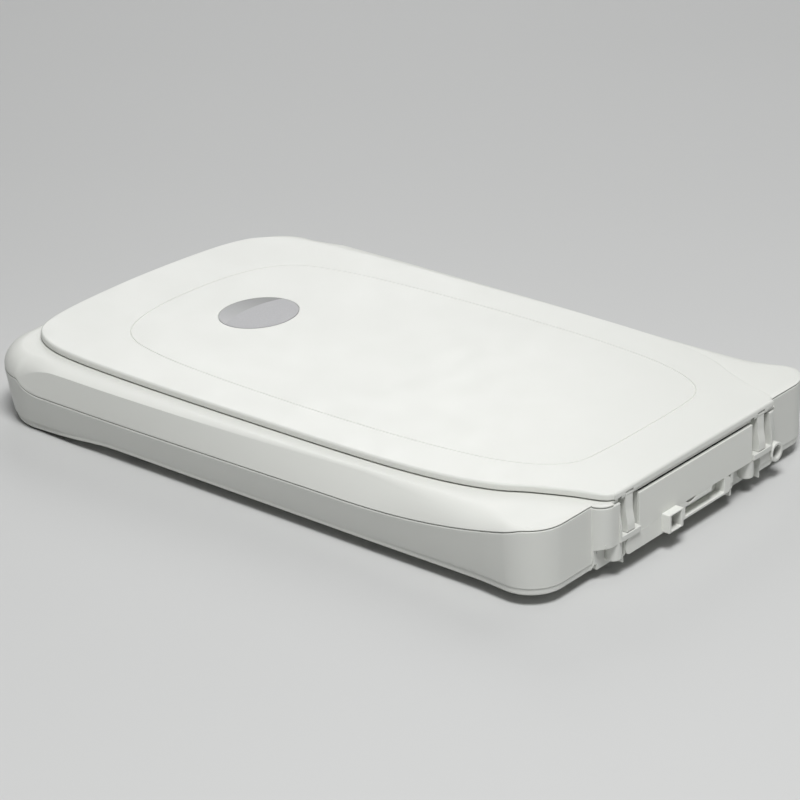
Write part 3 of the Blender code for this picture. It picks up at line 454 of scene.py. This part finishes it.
def two_tone_badge():
    """Silver plastic in two tones that meet on a shallow arc; the front one darkens towards -X."""
    nodes = Nodes("badge_silver", (0.4, 0.4, 0.4), 0.42, 0.1, Coat_Weight=0.10, Coat_Roughness=0.25)
    parts = nodes.add("ShaderNodeSeparateXYZ", {"Vector": nodes.place})
    bow = nodes.add("ShaderNodeMath", {0: parts.outputs["X"], 1: parts.outputs["X"]}, operation="MULTIPLY")
    sag = nodes.add("ShaderNodeMath", {0: bow.outputs[0], 1: 7.0}, operation="MULTIPLY")
    line = nodes.add("ShaderNodeMath", {0: parts.outputs["Y"], 1: sag.outputs[0]}, operation="SUBTRACT")
    side = nodes.add("ShaderNodeMapRange", {"Value": line.outputs[0], "From Min": BADGE_MIDDLE - 0.0102,
                                            "From Max": BADGE_MIDDLE - 0.0098})
    fleck = nodes.noise(1500.0, 3.0)
    rear = nodes.spread(fleck, (0.34, 0.34, 0.35), (0.39, 0.39, 0.40))
    across = nodes.add("ShaderNodeMapRange", {"Value": parts.outputs["X"], "From Min": -BADGE_X * 0.7,
                                              "From Max": BADGE_X})
    tone = nodes.add("ShaderNodeValToRGB", {"Fac": across.outputs["Result"]})
    tone.color_ramp.elements[0].color = (0.21, 0.215, 0.21, 1)
    tone.color_ramp.elements[1].color = (0.42, 0.42, 0.425, 1)
    mix = nodes.add("ShaderNodeMix", {0: side.outputs["Result"], 6: tone.outputs["Color"], 7: rear},
                    data_type="RGBA")
    nodes.link(mix.outputs[2], "Base Color")
    nodes.bump(fleck, 0.000004)
    return nodes.material


def clear_glass():
    """Float glass with a trace of green and faint wipe marks."""
    nodes = Nodes("platen_glass", (0.93, 0.975, 0.955), 0.02, Transmission_Weight=1.0, IOR=1.5)
    nodes.link(nodes.grey(nodes.noise(14.0, 5.0, (1, 0.25, 1)), 0.01, 0.05), "Roughness")
    return nodes.material


def foam():
    """White foam under a smooth film, with the cells just showing through."""
    nodes = Nodes("mat_foam", (0.90, 0.90, 0.885), 0.55, Sheen_Weight=0.15)
    cells = nodes.add("ShaderNodeTexVoronoi", {"Vector": nodes.place, "Scale": 700.0}).outputs["Distance"]
    nodes.link(nodes.spread(nodes.noise(25.0, 4.0), (0.87, 0.87, 0.855), (0.92, 0.92, 0.905)), "Base Color")
    nodes.bump(cells, 0.00004)
    return nodes.material


def rubber(name, colour):
    nodes = Nodes(name, colour, 0.75)
    dust = nodes.noise(500.0, 5.0)
    nodes.link(nodes.spread(dust, colour, tuple(c + 0.02 for c in colour)), "Base Color")
    nodes.link(nodes.grey(dust, 0.65, 0.85), "Roughness")
    nodes.bump(nodes.noise(3000.0), 0.00002)
    return nodes.material


def circuit_board():
    """Green solder mask over copper tracks, with plated pads."""
    nodes = Nodes("circuit_board", (0.02, 0.16, 0.07), 0.35)
    tracks = nodes.add("ShaderNodeTexBrick", {
        "Vector": nodes.place, "Scale": 260.0, "Mortar Size": 0.06, "Color1": (0.015, 0.14, 0.06, 1),
        "Color2": (0.02, 0.17, 0.075, 1), "Mortar": (0.05, 0.28, 0.13, 1)}, offset=0.3)
    pads = nodes.add("ShaderNodeTexVoronoi", {"Vector": nodes.place, "Scale": 330.0}).outputs["Distance"]
    near = nodes.add("ShaderNodeMapRange", {"Value": pads, "From Min": 0.16, "From Max": 0.13})
    mix = nodes.add("ShaderNodeMix", {0: near.outputs["Result"], 6: tracks.outputs["Color"],
                                      7: (0.62, 0.60, 0.55, 1)}, data_type="RGBA")
    nodes.link(mix.outputs[2], "Base Color")
    nodes.link(near.outputs["Result"], "Metallic")
    nodes.bump(tracks.outputs["Fac"], 0.00003)
    return nodes.material


def flat_cable():
    """White film with its conductors side by side."""
    nodes = Nodes("flat_cable", (0.80, 0.80, 0.78), 0.35)
    stripes = nodes.add("ShaderNodeTexWave", {"Vector": nodes.place, "Scale": 160.0}, bands_direction="X")
    nodes.link(nodes.spread(stripes.outputs["Fac"], (0.62, 0.63, 0.63), (0.84, 0.84, 0.82)), "Base Color")
    nodes.bump(stripes.outputs["Fac"], 0.00005)
    return nodes.material


def lamp_tube():
    """A fluorescent tube: phosphor under glass."""
    nodes = Nodes("lamp_glass", (0.92, 0.93, 0.95), 0.12, Coat_Weight=0.6, Coat_Roughness=0.03)
    powder = nodes.noise(1200.0, 3.0)
    nodes.link(nodes.spread(powder, (0.88, 0.89, 0.92), (0.95, 0.96, 0.97)), "Base Color")
    return nodes.material


def mirror():
    nodes = Nodes("mirror_glass", (0.90, 0.92, 0.93), 0.02, 1.0)
    nodes.link(nodes.grey(nodes.noise(120.0, 4.0), 0.01, 0.05), "Roughness")
    return nodes.material


def pale_floor():
    nodes = Nodes("floor", (0.62, 0.625, 0.62), 0.8)
    nodes.link(nodes.spread(nodes.noise(1.5, 2.0), (0.61, 0.615, 0.61), (0.625, 0.63, 0.625)), "Base Color")
    return nodes.material


CASE = moulded("case_plastic", (0.795, 0.805, 0.765), 0.46)
# The lower shell's plastic is the case plastic painted darker: painted shade for its low, slightly
# downward-facing walls.
TUB_PAINTED_SHADE = moulded("case_plastic_lower_painted_shade", (0.725, 0.735, 0.700), 0.48)
LID = moulded("lid_plastic", (0.800, 0.810, 0.770), 0.40, grain=0.000008)
WHITE = moulded("white_plastic", (0.86, 0.86, 0.84), 0.55)
BLACK = moulded("black_plastic", (0.020, 0.020, 0.022), 0.42, grain=0.00002)
ACETAL = moulded("acetal", (0.78, 0.76, 0.69), 0.36)
STEEL = metal("steel", (0.62, 0.63, 0.64), 0.28)
BRONZE = sintered()
BADGE = two_tone_badge()
GLASS = clear_glass()
FOAM = foam()
MIRROR = mirror()
RUBBER = rubber("black_rubber", (0.022, 0.022, 0.022))
GREY_RUBBER = rubber("grey_rubber", (0.42, 0.42, 0.40))
BOARD = circuit_board()
CABLE = flat_cable()
LAMP = lamp_tube()


# ---------------------------------------------------------------- the base's plan and sections
def base_half():
    """Half the plan of the base at its widest level, from the front middle round to the back middle."""
    corner_x = HALF_WIDTH - FRONT_RADIUS
    corner_y = FRONT_Y + FRONT_BOW + FRONT_RADIUS
    front = [(corner_x * t, FRONT_Y + FRONT_BOW * t * t) for t in spaced(0, 1, 15)[:-1]]
    corner = arc((corner_x, corner_y), FRONT_RADIUS, -90, 0, 30)
    nose = [(HALF_WIDTH, y) for y in spaced(corner_y, -0.1650, 34)[1:]]
    side = [(HALF_WIDTH, y) for y in spaced(-0.1650, WING_Y - REAR_RADIUS, 60)[1:-1]]
    rear = arc((HALF_WIDTH - REAR_RADIUS, WING_Y - REAR_RADIUS), REAR_RADIUS, 0, 90, 18)
    wing = [(x, WING_Y) for x in spaced(HALF_WIDTH - REAR_RADIUS - 0.0045, BLOCK_HALF + 0.0012, 6)]
    block = arc((BLOCK_HALF - BLOCK_RADIUS, BLOCK_Y - BLOCK_RADIUS), BLOCK_RADIUS, 4, 90, 14)
    back = [(x, BLOCK_Y) for x in spaced(0.080, 0.0, 9)]
    return relaxed(front + corner, 4) + nose + side + rear + wing + block + back


def on_block(x, y):
    return y > WING_Y + 0.0002 and abs(x) < BLOCK_HALF + 0.0006


def quarter(y, front, back):
    """Height share of a quarter ellipse that rises from 0 at front to 1 at back."""
    t = min(1.0, max(0.0, (y - front) / (back - front)))
    return math.sqrt(1.0 - (1.0 - t) ** 2)


def seam_z(x, y):
    """Height of the seam: high across the front, down round the nose of the side's flat band, nearly
    level along it, and up to the ledge at the rear corner."""
    if on_block(x, y):
        return BLOCK_SEAM_Z
    level = 0.0305 + 0.0029 * step(y, -0.150, 0.160)
    sweep = 0.0180 * min(1.0, max(0.0, (y - 0.083) / 0.140)) ** 2.2
    side = min(REAR_SEAM_Z, level + sweep)
    return FRONT_SEAM_Z + (side - FRONT_SEAM_Z) * quarter(y, NOSE_Y, -0.186)


def bottom_z(x, y):
    if on_block(x, y):
        return BLOCK_BOTTOM
    return FRONT_BOTTOM + (SIDE_BOTTOM - FRONT_BOTTOM) * step(y, -0.205, -0.118)


FACE = 14       # points up the flat band
ROLL = 16       # points over the rounded shoulder


def shoulder(x, y):
    """Outer section of the upper shell from the seam up to the ledge, as (inset, height) pairs.

    A flat band leans in from the seam to a crease, and a rounded shoulder runs on from there.  The
    shoulder is a deep dome round the front and narrows to a small radius towards the rear.
    """
    seam = seam_z(x, y)
    lip = [(0.0006, seam), (0.00018, seam + 0.00018), (0.0, seam + 0.0006)]
    if on_block(x, y):
        rest = [(0.0, LEDGE_Z - 0.0008), (0.0001, LEDGE_Z - 0.0006), (0.0003, LEDGE_Z - 0.0005),
                (0.0009, LEDGE_Z - 0.0004), (0.0011, LEDGE_Z - 0.0002), (0.0014, LEDGE_Z)]
        return lip + even([lip[-1]] + rest, FACE + ROLL + 1)[1:]
    share = quarter(y, NOSE_Y, -0.170)
    soft = step(y, 0.085, 0.165)        # towards the rear corner the crease melts into one round
    lean = 0.0018 + 0.0126 * min(1.0, max(0.0, (y + 0.130) / 0.314)) ** 1.5
    lean += (0.0016 - lean) * step(y, 0.186, 0.226)
    lean *= share
    crease = min(seam + 0.0010 + (BAND_TOP - seam - 0.0010) * share, LEDGE_Z - 0.0010)
    depth = 0.0140 - 0.0112 * step(y, -0.150, 0.050)
    start = seam + 0.0006
    band = [(lean * (t - 0.04 * math.sin(t * math.pi)), start + (crease - start) * t)
            for t in spaced(0, 1, FACE + 1)[1:]]
    first = 28 * share                  # the crease is sharp along the band and fades before it
    base, rise = math.radians(first), LEDGE_Z - crease
    over = []
    for a in spaced(first, 90, ROLL + 1)[1:]:
        turn = math.radians(a)
        over.append((lean + depth * (math.cos(base) - math.cos(turn)) / math.cos(base),
                     crease + rise * (math.sin(turn) - math.sin(base)) / (1 - math.sin(base))))
    reach = lean + depth
    whole = []
    for t in spaced(0, 1, FACE + ROLL + 1)[1:]:
        turn = math.radians(30 + 60 * t)
        whole.append((reach * (math.cos(math.radians(30)) - math.cos(turn)) / math.cos(math.radians(30)),
                      start + (LEDGE_Z - start) * (math.sin(turn) - 0.5) / 0.5))
    return lip + [(a[0] + (b[0] - a[0]) * soft, a[1] + (b[1] - a[1]) * soft)
                  for a, b in zip(band + over, whole)]


def lining(x, y):
    """Inner section of the upper shell, a wall's width behind the outer one."""
    outer = shoulder(x, y)
    seam = seam_z(x, y)
    roof = LEDGE_Z - SKIN
    if on_block(x, y):
        return [(SKIN + 0.0018, seam), (SKIN + 0.0024, seam + 0.0002), (SKIN + 0.0030, seam + 0.0004),
                (SKIN + 0.0036, roof)]
    rows = [(SKIN, seam)]
    for n, i in enumerate((FACE + 2, FACE + 9)):
        along = Vector((outer[i + 1][0] - outer[i - 1][0], outer[i + 1][1] - outer[i - 1][1])).normalized()
        rows.append((outer[i][0] + SKIN * along.y,
                     min(roof - 0.0001, max(seam + 0.0002 + 0.0002 * n, outer[i][1] - SKIN * along.x))))
    return rows + [(outer[-1][0] + SKIN, roof)]


def draft(y):
    """Share of the walls' inward taper: none on the rear faces."""
    return 1.0 if y < 0.19 else max(0.0, 1.0 - (y - 0.19) / 0.046)


WALL = 16       # points up the wall of the lower shell


def tub(x, y):
    """Section of the lower shell: under the floor, round the foot strip, up the leaning wall, over the
    seam and down inside.  The strip is tall and set in across the front and thin along the sides."""
    bottom, taper = bottom_z(x, y), draft(y)
    top = seam_z(x, y) - SEAM_GAP
    front = 1 - step(y, -0.200, -0.150)
    foot = 0.0004 + (0.0036 + 0.0008 * front) * taper
    rear = step(y, 0.080, 0.180)
    strip = bottom + 0.0034 + 0.0024 * front + 0.0014 * rear
    inner = foot + 0.0010 * front * taper + 0.0005 * rear
    radius = 0.0014 + 0.0014 * front
    rows = [(FLOOR_INSET, FLOOR_BOTTOM), (0.0095, bottom + (FLOOR_BOTTOM - bottom) * 0.35)]
    for a in spaced(90, 0, 7):
        turn = math.radians(a)
        rows.append((inner + radius * (1 - math.cos(turn)), bottom + radius * (1 - math.sin(turn))))
    rows += [(inner, strip - 0.0005), (inner - 0.00005, strip - 0.0001),
             (foot - 0.0001, strip + 0.0002), (foot - 0.0004 * taper, strip + 0.0006)]
    start, base = strip + 0.0006, foot - 0.0004 * taper
    crest = top - 0.0008
    for t in spaced(0, 1, WALL)[1:]:
        rows.append((base * (1 - t) * (1 - 0.10 * math.sin(t * math.pi)), start + (crest - start) * t))
    rows += [(0.00012, top - 0.0004), (0.0004, top - 0.0001), (0.0008, top), (SKIN, top),
             (0.0034 + 0.0034 * taper, max(bottom + 0.0065, 0.0115)),
             (0.0095, max(bottom + 0.0025, 0.0100)), (FLOOR_INSET + 0.001, FLOOR_TOP)]
    return rows


def around(stations, normals, section):
    """Loops round the base: one for each point of the section that section(x, y) gives."""
    rows = [section(x, y) for x, y in stations]
    return [[(x + n[0] * row[i][0], y + n[1] * row[i][0], row[i][1])
             for (x, y), n, row in zip(stations, normals, rows)] for i in range(len(rows[0]))]


STATIONS = [(x + FAR_BLOCK, y) if x < -0.080 and y > WING_Y + 0.0002 else (x, y)
            for x, y in mirrored(base_half())]
NORMALS = inward(STATIONS)


# ---------------------------------------------------------------- shells
def hinge_pockets():
    """Cutters for the T-shaped slot that each hinge post slides in, with a soft rim at the back."""
    tools = []
    for side in (1, -1):
        x = side * HINGE_X
        mouth = rounded_rectangle(x - 0.0095, x + 0.0095, 0.0280, 0.0600, 0.0006, 3)
        tools.append(flared(mouth, 0.2390, BLOCK_Y + 0.0016, 0.0004, "Y"))
        tools.append(box((x - 0.0107, 0.2328, 0.0280), (x + 0.0107, 0.2394, 0.0600)))
    return tools


def upper_cover():
    """The top cover of the base, with the platen window, the hinge openings and the screw bosses."""
    outer = around(STATIONS, NORMALS, shoulder)
    inner = around(STATIONS, NORMALS, lining)
    shell = loft("upper_cover", list(reversed(inner)) + outer)
    window = rounded_rectangle(-WINDOW_HALF, WINDOW_HALF, WINDOW_FRONT, WINDOW_BACK, 0.0030)
    bosses = [turned("boss", [(0.0138, 0.0034), (0.0508 if y < 0 else 0.0458, 0.0034)], "Z", (x, y, 0), 24)
              for x, y in SCREW_PLACES]
    holes = [turned("hole", [(0.0090, 0.0018), (0.0270, 0.0018)], "Z", (x, y, 0), 24)
             for x, y in SCREW_PLACES]
    relief = box((-RELIEF_HALF, HINGE_Y + 0.0002, RELIEF_BOTTOM), (RELIEF_HALF, 0.2500, 0.0540))
    carve(shell, bosses, [flared(window, 0.0450, LEDGE_Z, 0.0007), *hinge_pockets(), *holes, relief])
    placed(shell, "upper_cover", CASE, "root", ["upper_shell"])


def swelling(front, low_z, high_z, face):
    """Outline (y, z) of a face that stands 1.6 mm further out at its foot than above, in a soft bend."""
    bend = [(face + 0.0016 * step(z, 0.0440, 0.0320), z) for z in spaced(0.0320, 0.0440, 13)]
    return [(front, low_z), (face + 0.0012, low_z), (face + 0.0016, low_z + 0.0004)] + bend + [
        (face, high_z), (front, high_z)]


def hinge_face(side):
    """The outer face of a hinge tower, through which its slot is cut."""
    outline = swelling(0.2430, 0.0243, 0.0450, BLOCK_Y)
    return loft("hinge_face", [[(side * (HINGE_X + edge), y, z) for y, z in outline]
                               for edge in (-0.0093, 0.0105)])


def lower_case():
    """The tub: floor, walls, hinge towers, rear pillars in their niches, inner rail, pads and openings."""
    loops = around(STATIONS, NORMALS, tub)
    for loop in (loops[0], loops[-1]):      # the floor rises early towards the rear block
        for i, (x, y) in enumerate(STATIONS):
            if on_block(x, y):
                loop[i] = (0.88 * x, BLOCK_Y - 0.030, loop[i][2])
    shell = loft("lower_case", loops)
    joined = [box((side * HINGE_X - 0.0127, 0.2305, 0.0240), (side * HINGE_X + 0.0127, 0.2440, 0.0490))
              for side in (1, -1)]
    joined += [hinge_face(side) for side in (1, -1)]
    joined += [box((0.0750, 0.2260, 0.0080), (0.0925, 0.2440, 0.0262)),
               box((-0.0722, 0.2260, 0.0080), (-0.0378, 0.2440, 0.0262)),
               turned("jack_boss", [(0, 0.0066), (0.0166, 0.0066), (0.0169, 0.0065), (0.0171, 0.0063),
                                    (0.0172, 0.0060)], "Y", (JACK_X, 0.2300, JACK_Z)),
               box((0.1110, -0.2000, 0.0080), (0.1150, 0.2200, 0.0170))]
    joined += [turned("pad", [(0, 0.0030), (0.0027, 0.0030), (0.0029, 0.0028)], "Z", (x, y, 0.0080), 24)
               for x in (-0.090, 0.050) for y in (0.130, 0.205)]
    cuts = [box((-0.0612, 0.2430, 0.0237), (0.0612, 0.2480, 0.0560)),
            box((-0.0373, 0.2430, 0.0040), (0.0745, 0.2480, 0.0240)),
            box((-0.0323, 0.2372, 0.0040), (0.0148, 0.2440, 0.0265)),
            box((0.0237, 0.2225, 0.0128), (0.0359, 0.2440, 0.0257))]
    near_arch = arc((0.0922, 0.0170), 0.0065, 0, 90, 16) + [(0.0755, 0.0235), (0.0755, -0.0020),
                                                           (0.0987, -0.0020)]
    far_arch = rounded_rectangle(-0.0712, -0.0402, -0.0020, 0.0238, 0.0030, 8)
    cuts += [flared(outline, start, BLOCK_Y, 0.0006, "Y")
             for outline, start in ((near_arch, 0.2372), (far_arch, 0.2375))]
    cuts += hinge_pockets()
    cuts.append(turned("jack_hole", [(-0.001, 0.0045), (0.0164, 0.0045), (0.0169, 0.0047),
                                     (0.0172, 0.0052), (0.0190, 0.0052)], "Y", (JACK_X, 0.2300, JACK_Z)))
    carve(shell, joined, cuts)
    pillars = []
    for x, y, top in PILLARS:
        foot = [(0.0128 - 0.0012 * math.sin(math.radians(a)),
                 PILLAR_R - 0.0012 * (1 - math.cos(math.radians(a)))) for a in spaced(90, 0, 7)]
        pillars.append(turned("pillar", foot + [(top, PILLAR_R)], "Z", (x, y, 0.0), 64))
    cuts = [box((0.0570, 0.0960, 0.0040), (0.0630, 0.1200, 0.0100))]
    for x, y in SCREW_PLACES:
        cuts += [turned("recess", [(-0.001, 0.0038), (0.0078, 0.0038)], "Z", (x, y, 0.0), 32),
                 turned("shank", [(0.0060, 0.0018), (0.0140, 0.0018)], "Z", (x, y, 0.0), 24)]
    carve(shell, pillars, cuts)
    # The tub wears the darker copy of the case plastic, which is painted shade.
    placed(shell, "lower_case", TUB_PAINTED_SHADE, "root", ["lower_shell"])


def back_panel():
    """The panel between the hinges, with the data port's shroud, the accessory bay and a finger slot."""
    y0, y1 = BLOCK_Y - SKIN, BLOCK_Y
    panel = box((-0.0609, y0, 0.0238), (0.0609, y1, 0.0493), 0.0003)
    lower = rounded_rectangle(-0.0370, 0.0742, 0.0125, 0.0236, 0.0034, 10)
    joined = [box((-0.0340, y0, 0.0200), (0.0606, y1 - 0.0001, 0.0300)), prism(lower, y0, y1, "Y"),
              box((-0.0320, 0.2375, 0.0127), (0.0145, y1 - 0.0010, 0.0262), 0.0004),
              box((0.0222, y0 + 0.0005, 0.0136), (0.0374, PORT_Y, 0.0260), 0.0005)]
    cuts = [flared(rounded_rectangle(-0.0300, -0.0165, 0.0139, 0.0240, 0.0010), 0.2390, y1, 0.0004, "Y"),
            box((-0.0200, 0.2390, 0.0139), (0.0125, 0.2480, 0.0208)),
            flared(rounded_rectangle(0.0246, 0.0350, 0.0146, 0.0250, 0.0006), 0.2400, PORT_Y, 0.0004, "Y"),
            prism(arc((0.0063, 0.0300), 0.0080, 225, 315, 18), 0.2350, 0.2480, "Y")]
    carve(panel, joined, cuts)
    placed(panel, "back_panel", CASE, "root", ["rear_panel"])


def lid_outline():
    half = [(0.0, -0.2414), (0.0580, -0.2388), (0.0930, -0.2330), (0.1115, -0.2228), (0.1235, -0.2013),
            (0.1290, -0.1678), (0.1313, -0.1018), (0.1314, -0.0138), (0.1300, 0.0842), (0.1255, 0.1402),
            (0.1170, 0.1762), (0.1059, 0.1982), (0.0963, 0.2202), (0.0922, 0.2330), (0.0893, 0.2405),
            (0.0850, 0.2443), (0.0790, BLOCK_Y), (0.0, BLOCK_Y)]
    return mirrored(even(smooth(half, 12), 170))


def groove_outline():
    half = [(0.0, -0.1893), (0.0410, -0.1858), (0.0690, -0.1758), (0.0855, -0.1578), (0.0940, -0.1258),
            (0.0985, -0.0788), (0.1004, -0.0138), (0.1000, 0.0462), (0.0975, 0.1012), (0.0912, 0.1512),
            (0.0800, 0.1832), (0.0650, 0.1992), (0.0450, 0.2037), (0.0, 0.2046)]
    return mirrored(even(smooth(half, 12), 170))


def ringed(loop, section):
    """Loops set in from an outline by each (inset, height) pair."""
    normals = inward(loop)
    return [[(x + n[0] * inset, y + n[1] * inset, z) for (x, y), n in zip(loop, normals)]
            for inset, z in section]


def lid_cover():
    """The lid: rolled edge, engraved line, hinge ears and a hollow underside."""
    width, depth, edge = 0.00046, 0.00070, 0.0016
    groove = [(width, TOP_Z), (width * 0.45, TOP_Z - depth * 0.8), (0.0, TOP_Z - depth),
              (-width * 0.45, TOP_Z - depth * 0.8), (-width, TOP_Z)]
    rim = []
    for a in spaced(90, 0, 9):
        turn = math.radians(a)
        rim.append((edge * (1 - math.cos(turn)), TOP_Z - edge * (1 - math.sin(turn))))
    rim += [(0.0, LID_RIM_Z + 0.0012), (0.00005, LID_RIM_Z + 0.0004), (0.00015, LID_RIM_Z + 0.0001),
            (0.0005, LID_RIM_Z), (0.0017, LID_RIM_Z), (0.0020, LID_RIM_Z + 0.0003), (0.0022, TOP_Z - 0.0015)]
    shell = loft("lid_cover", ringed(groove_outline(), groove) + ringed(lid_outline(), rim))
    joined, cuts = [], []
    for side in (1, -1):
        x = side * HINGE_X
        for near, far in ((0.0040, 0.0074), (-0.0074, -0.0040)):
            joined.append(turned("ear", [(0, KNUCKLE - 0.0002), (0.0002, KNUCKLE),
                                         (far - near - 0.0002, KNUCKLE), (far - near, KNUCKLE - 0.0002)],
                                 "X", (x + near, HINGE_Y, HINGE_Z)))
            joined.append(box((x + near, HINGE_Y - KNUCKLE, HINGE_Z),
                              (x + far, HINGE_Y + KNUCKLE, TOP_Z - 0.0010)))
        cuts.append(box((x - 0.0040, 0.2410, 0.0500), (x + 0.0040, 0.2480, 0.0554)))
        cuts.append(turned("bore", [(0, PIN + FIT), (0.0154, PIN + FIT)], "X",
                           (x - 0.0077, HINGE_Y, HINGE_Z)))
    cuts.append(flared(oval(FIT), TOP_Z - 0.0006, TOP_Z, 0.0002))
    carve(shell, joined, cuts)
    placed(shell, "lid_cover", LID, "lid", ["lid_shell"])


def oval(grow=0.0, count=120):
    """The badge's outline, near the front of the lid."""
    return [((BADGE_X + grow) * math.cos(a), (BADGE_Y + grow) * math.sin(a) + BADGE_MIDDLE)
            for a in spaced(0, 2 * math.pi, count + 1)[:-1]]


def badge():
    """A shallow dome with a rolled rim."""
    bottom = low("lid_badge").z
    rise = high("lid_badge").z - bottom
    loops = []
    for inset, share in ((0.0, 0.0), (0.0, 0.45), (0.0002, 0.58), (0.0006, 0.68), (0.0016, 0.76),
                         (0.0050, 0.84), (0.0100, 0.91), (0.0160, 0.97), (0.0220, 1.0)):
        loops.append([(x, y, bottom + rise * share) for x, y in oval(-inset)])
    placed(loft("badge", loops), "badge", BADGE, "lid", ["lid_badge"])


# ---------------------------------------------------------------- soft and small pieces
def foam_mat():
    """The foam mat under the lid: soft rounded edges and a slightly crowned face."""
    bottom, top = low("document_mat"), high("document_mat")
    rows = [(0.0600, 0.00000), (0.0300, 0.00001), (0.0120, 0.00004), (0.0050, 0.00010), (0.0022, 0.00025),
            (0.0009, 0.00070), (0.0002, 0.00150), (0.0, 0.0026), (0.0003, 0.0037), (0.0010, 0.0044)]
    loops = [[(x, y, bottom.z + rise) for x, y in
              rounded_rectangle(bottom.x + inset, top.x - inset, bottom.y + inset, top.y - inset,
                                0.0060, 10)] for inset, rise in rows]
    loops.append([(x, y, top.z) for x, y, _ in loops[-1]])
    mat = placed(loft("foam_mat", loops), "foam_mat", FOAM, "lid", ["document_mat"])


def ribbon():
    """The flat cable folded behind the scan head."""
    near, far = low("ribbon_cable"), high("ribbon_cable")
    middle, swing, half = (near.z + far.z) / 2, 0.0012, 0.00018
    rows = []
    for t in spaced(0, 1, 97):
        rows.append((near.y + (far.y - near.y) * t, middle + swing * math.cos(t * 6 * math.pi)))
    outline = [(y, z + half) for y, z in rows] + [(y, z - half) for y, z in reversed(rows)]
    cable = loft("ribbon", [[(x, y, z) for y, z in outline] for x in (near.x, far.x)])
    cable.data.materials.append(CABLE)
    shaded(cable)
    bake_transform(cable)
    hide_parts("ribbon_cable")


def feet():
    """Pale rubber feet with a rolled edge and a shallow ring moulded in the sole."""
    for node in ("foot_front_right", "foot_front_left", "foot_rear_right", "foot_rear_left"):
        bottom, top = low(node), high(node)
        radius, height = (top.x - bottom.x) / 2, top.z
        place = ((bottom.x + top.x) / 2, (bottom.y + top.y) / 2, 0.0)
        profile = [(0.0006, 0.0020), (0.0006, radius * 0.55), (0.0, radius * 0.62), (0.0, radius - 0.0011),
                   (0.0003, radius - 0.0004), (0.0010, radius - 0.0001), (height * 0.6, radius),
                   (height - 0.0004, radius - 0.0002), (height, radius - 0.0008)]
        placed(turned("sole", profile, "Z", place, 64), node.replace("foot", "pad"), GREY_RUBBER, "root",
               [node])


def rules():
    """The two thin size rules beside the platen, the side one short enough to stay under the lid."""
    top = high("side_rule").z
    side, back = low("side_rule"), low("back_rule")
    placed(box((side.x, side.y, side.z), (high("side_rule").x - 0.0014, RULE_BACK, top), 0.00015),
           "side_rule_strip", ACETAL, "root", ["side_rule"])
    placed(box((back.x, back.y, back.z), (high("back_rule").x, high("back_rule").y, top), 0.00015),
           "back_rule_strip", ACETAL, "root", ["back_rule"])


def hinge_posts():
    """Two posts that slide in the towers, with rounded edges and a round knuckle each."""
    for side, name in ((1, "right"), (-1, "left")):
        x = side * HINGE_X
        post = box((x - 0.0103, 0.2332, 0.0284), (x + 0.0103, 0.2386, 0.0500), 0.0004)
        knuckle = turned("knuckle", [(0, KNUCKLE - 0.0002), (0.0002, KNUCKLE), (0.0070, KNUCKLE),
                                     (0.0072, KNUCKLE - 0.0002)], "X", (x - 0.0036, HINGE_Y, HINGE_Z))
        outline = swelling(0.2380, 0.0284, 0.0505, BLOCK_Y - 0.0005)
        joined = [loft("web", [[(x + edge, y, z) for y, z in outline] for edge in (-0.0036, 0.0036)]),
                  box((x - 0.0036, HINGE_Y - KNUCKLE, 0.0500), (x + 0.0036, HINGE_Y + 0.0014, HINGE_Z)),
                  knuckle]
        bore = turned("bore", [(0, PIN + FIT), (0.0120, PIN + FIT)], "X", (x - 0.0060, HINGE_Y, HINGE_Z), 32)
        carve(post, joined, [bore])
        placed(post, f"post_{name}", CASE, "hinge_posts", [f"hinge_post_{name}"])
        pin = turned("pin", [(0, PIN - 0.0002), (0.0002, PIN), (0.0142, PIN), (0.0144, PIN - 0.0002)], "X",
                     (x - 0.0072, HINGE_Y, HINGE_Z), 32)
        placed(pin, f"pin_{name}", STEEL, "hinge_posts", [f"hinge_pin_{name}"])


# ---------------------------------------------------------------- build
camera()
studio()
upper_cover()
lower_case()
back_panel()
lid_cover()
badge()
rules()
foam_mat()
ribbon()
feet()
hinge_posts()

LOOKS = {
    "case_plastic": CASE, "lid_plastic": LID, "badge_silver": BADGE, "platen_glass": GLASS,
    "mat_foam": FOAM, "white_plastic": WHITE, "black_plastic": BLACK, "acetal": ACETAL, "steel": STEEL,
    "bronze": BRONZE, "mirror_glass": MIRROR, "rubber": RUBBER, "circuit_board": BOARD,
    "flat_cable": CABLE, "lamp_glass": LAMP,
}
for entry in frame["record"]["subparts"]:
    node = NODES[entry["node"]]
    node.data.materials.clear()
    node.data.materials.append(LOOKS[entry["material_slot"]])

floor = loft("floor", [[(x * 8, y * 8, z) for x, y in ((-1, -1), (1, -1), (1, 1), (-1, 1))]
                       for z in (-0.002, 0.0)])
floor.data.materials.append(pale_floor())
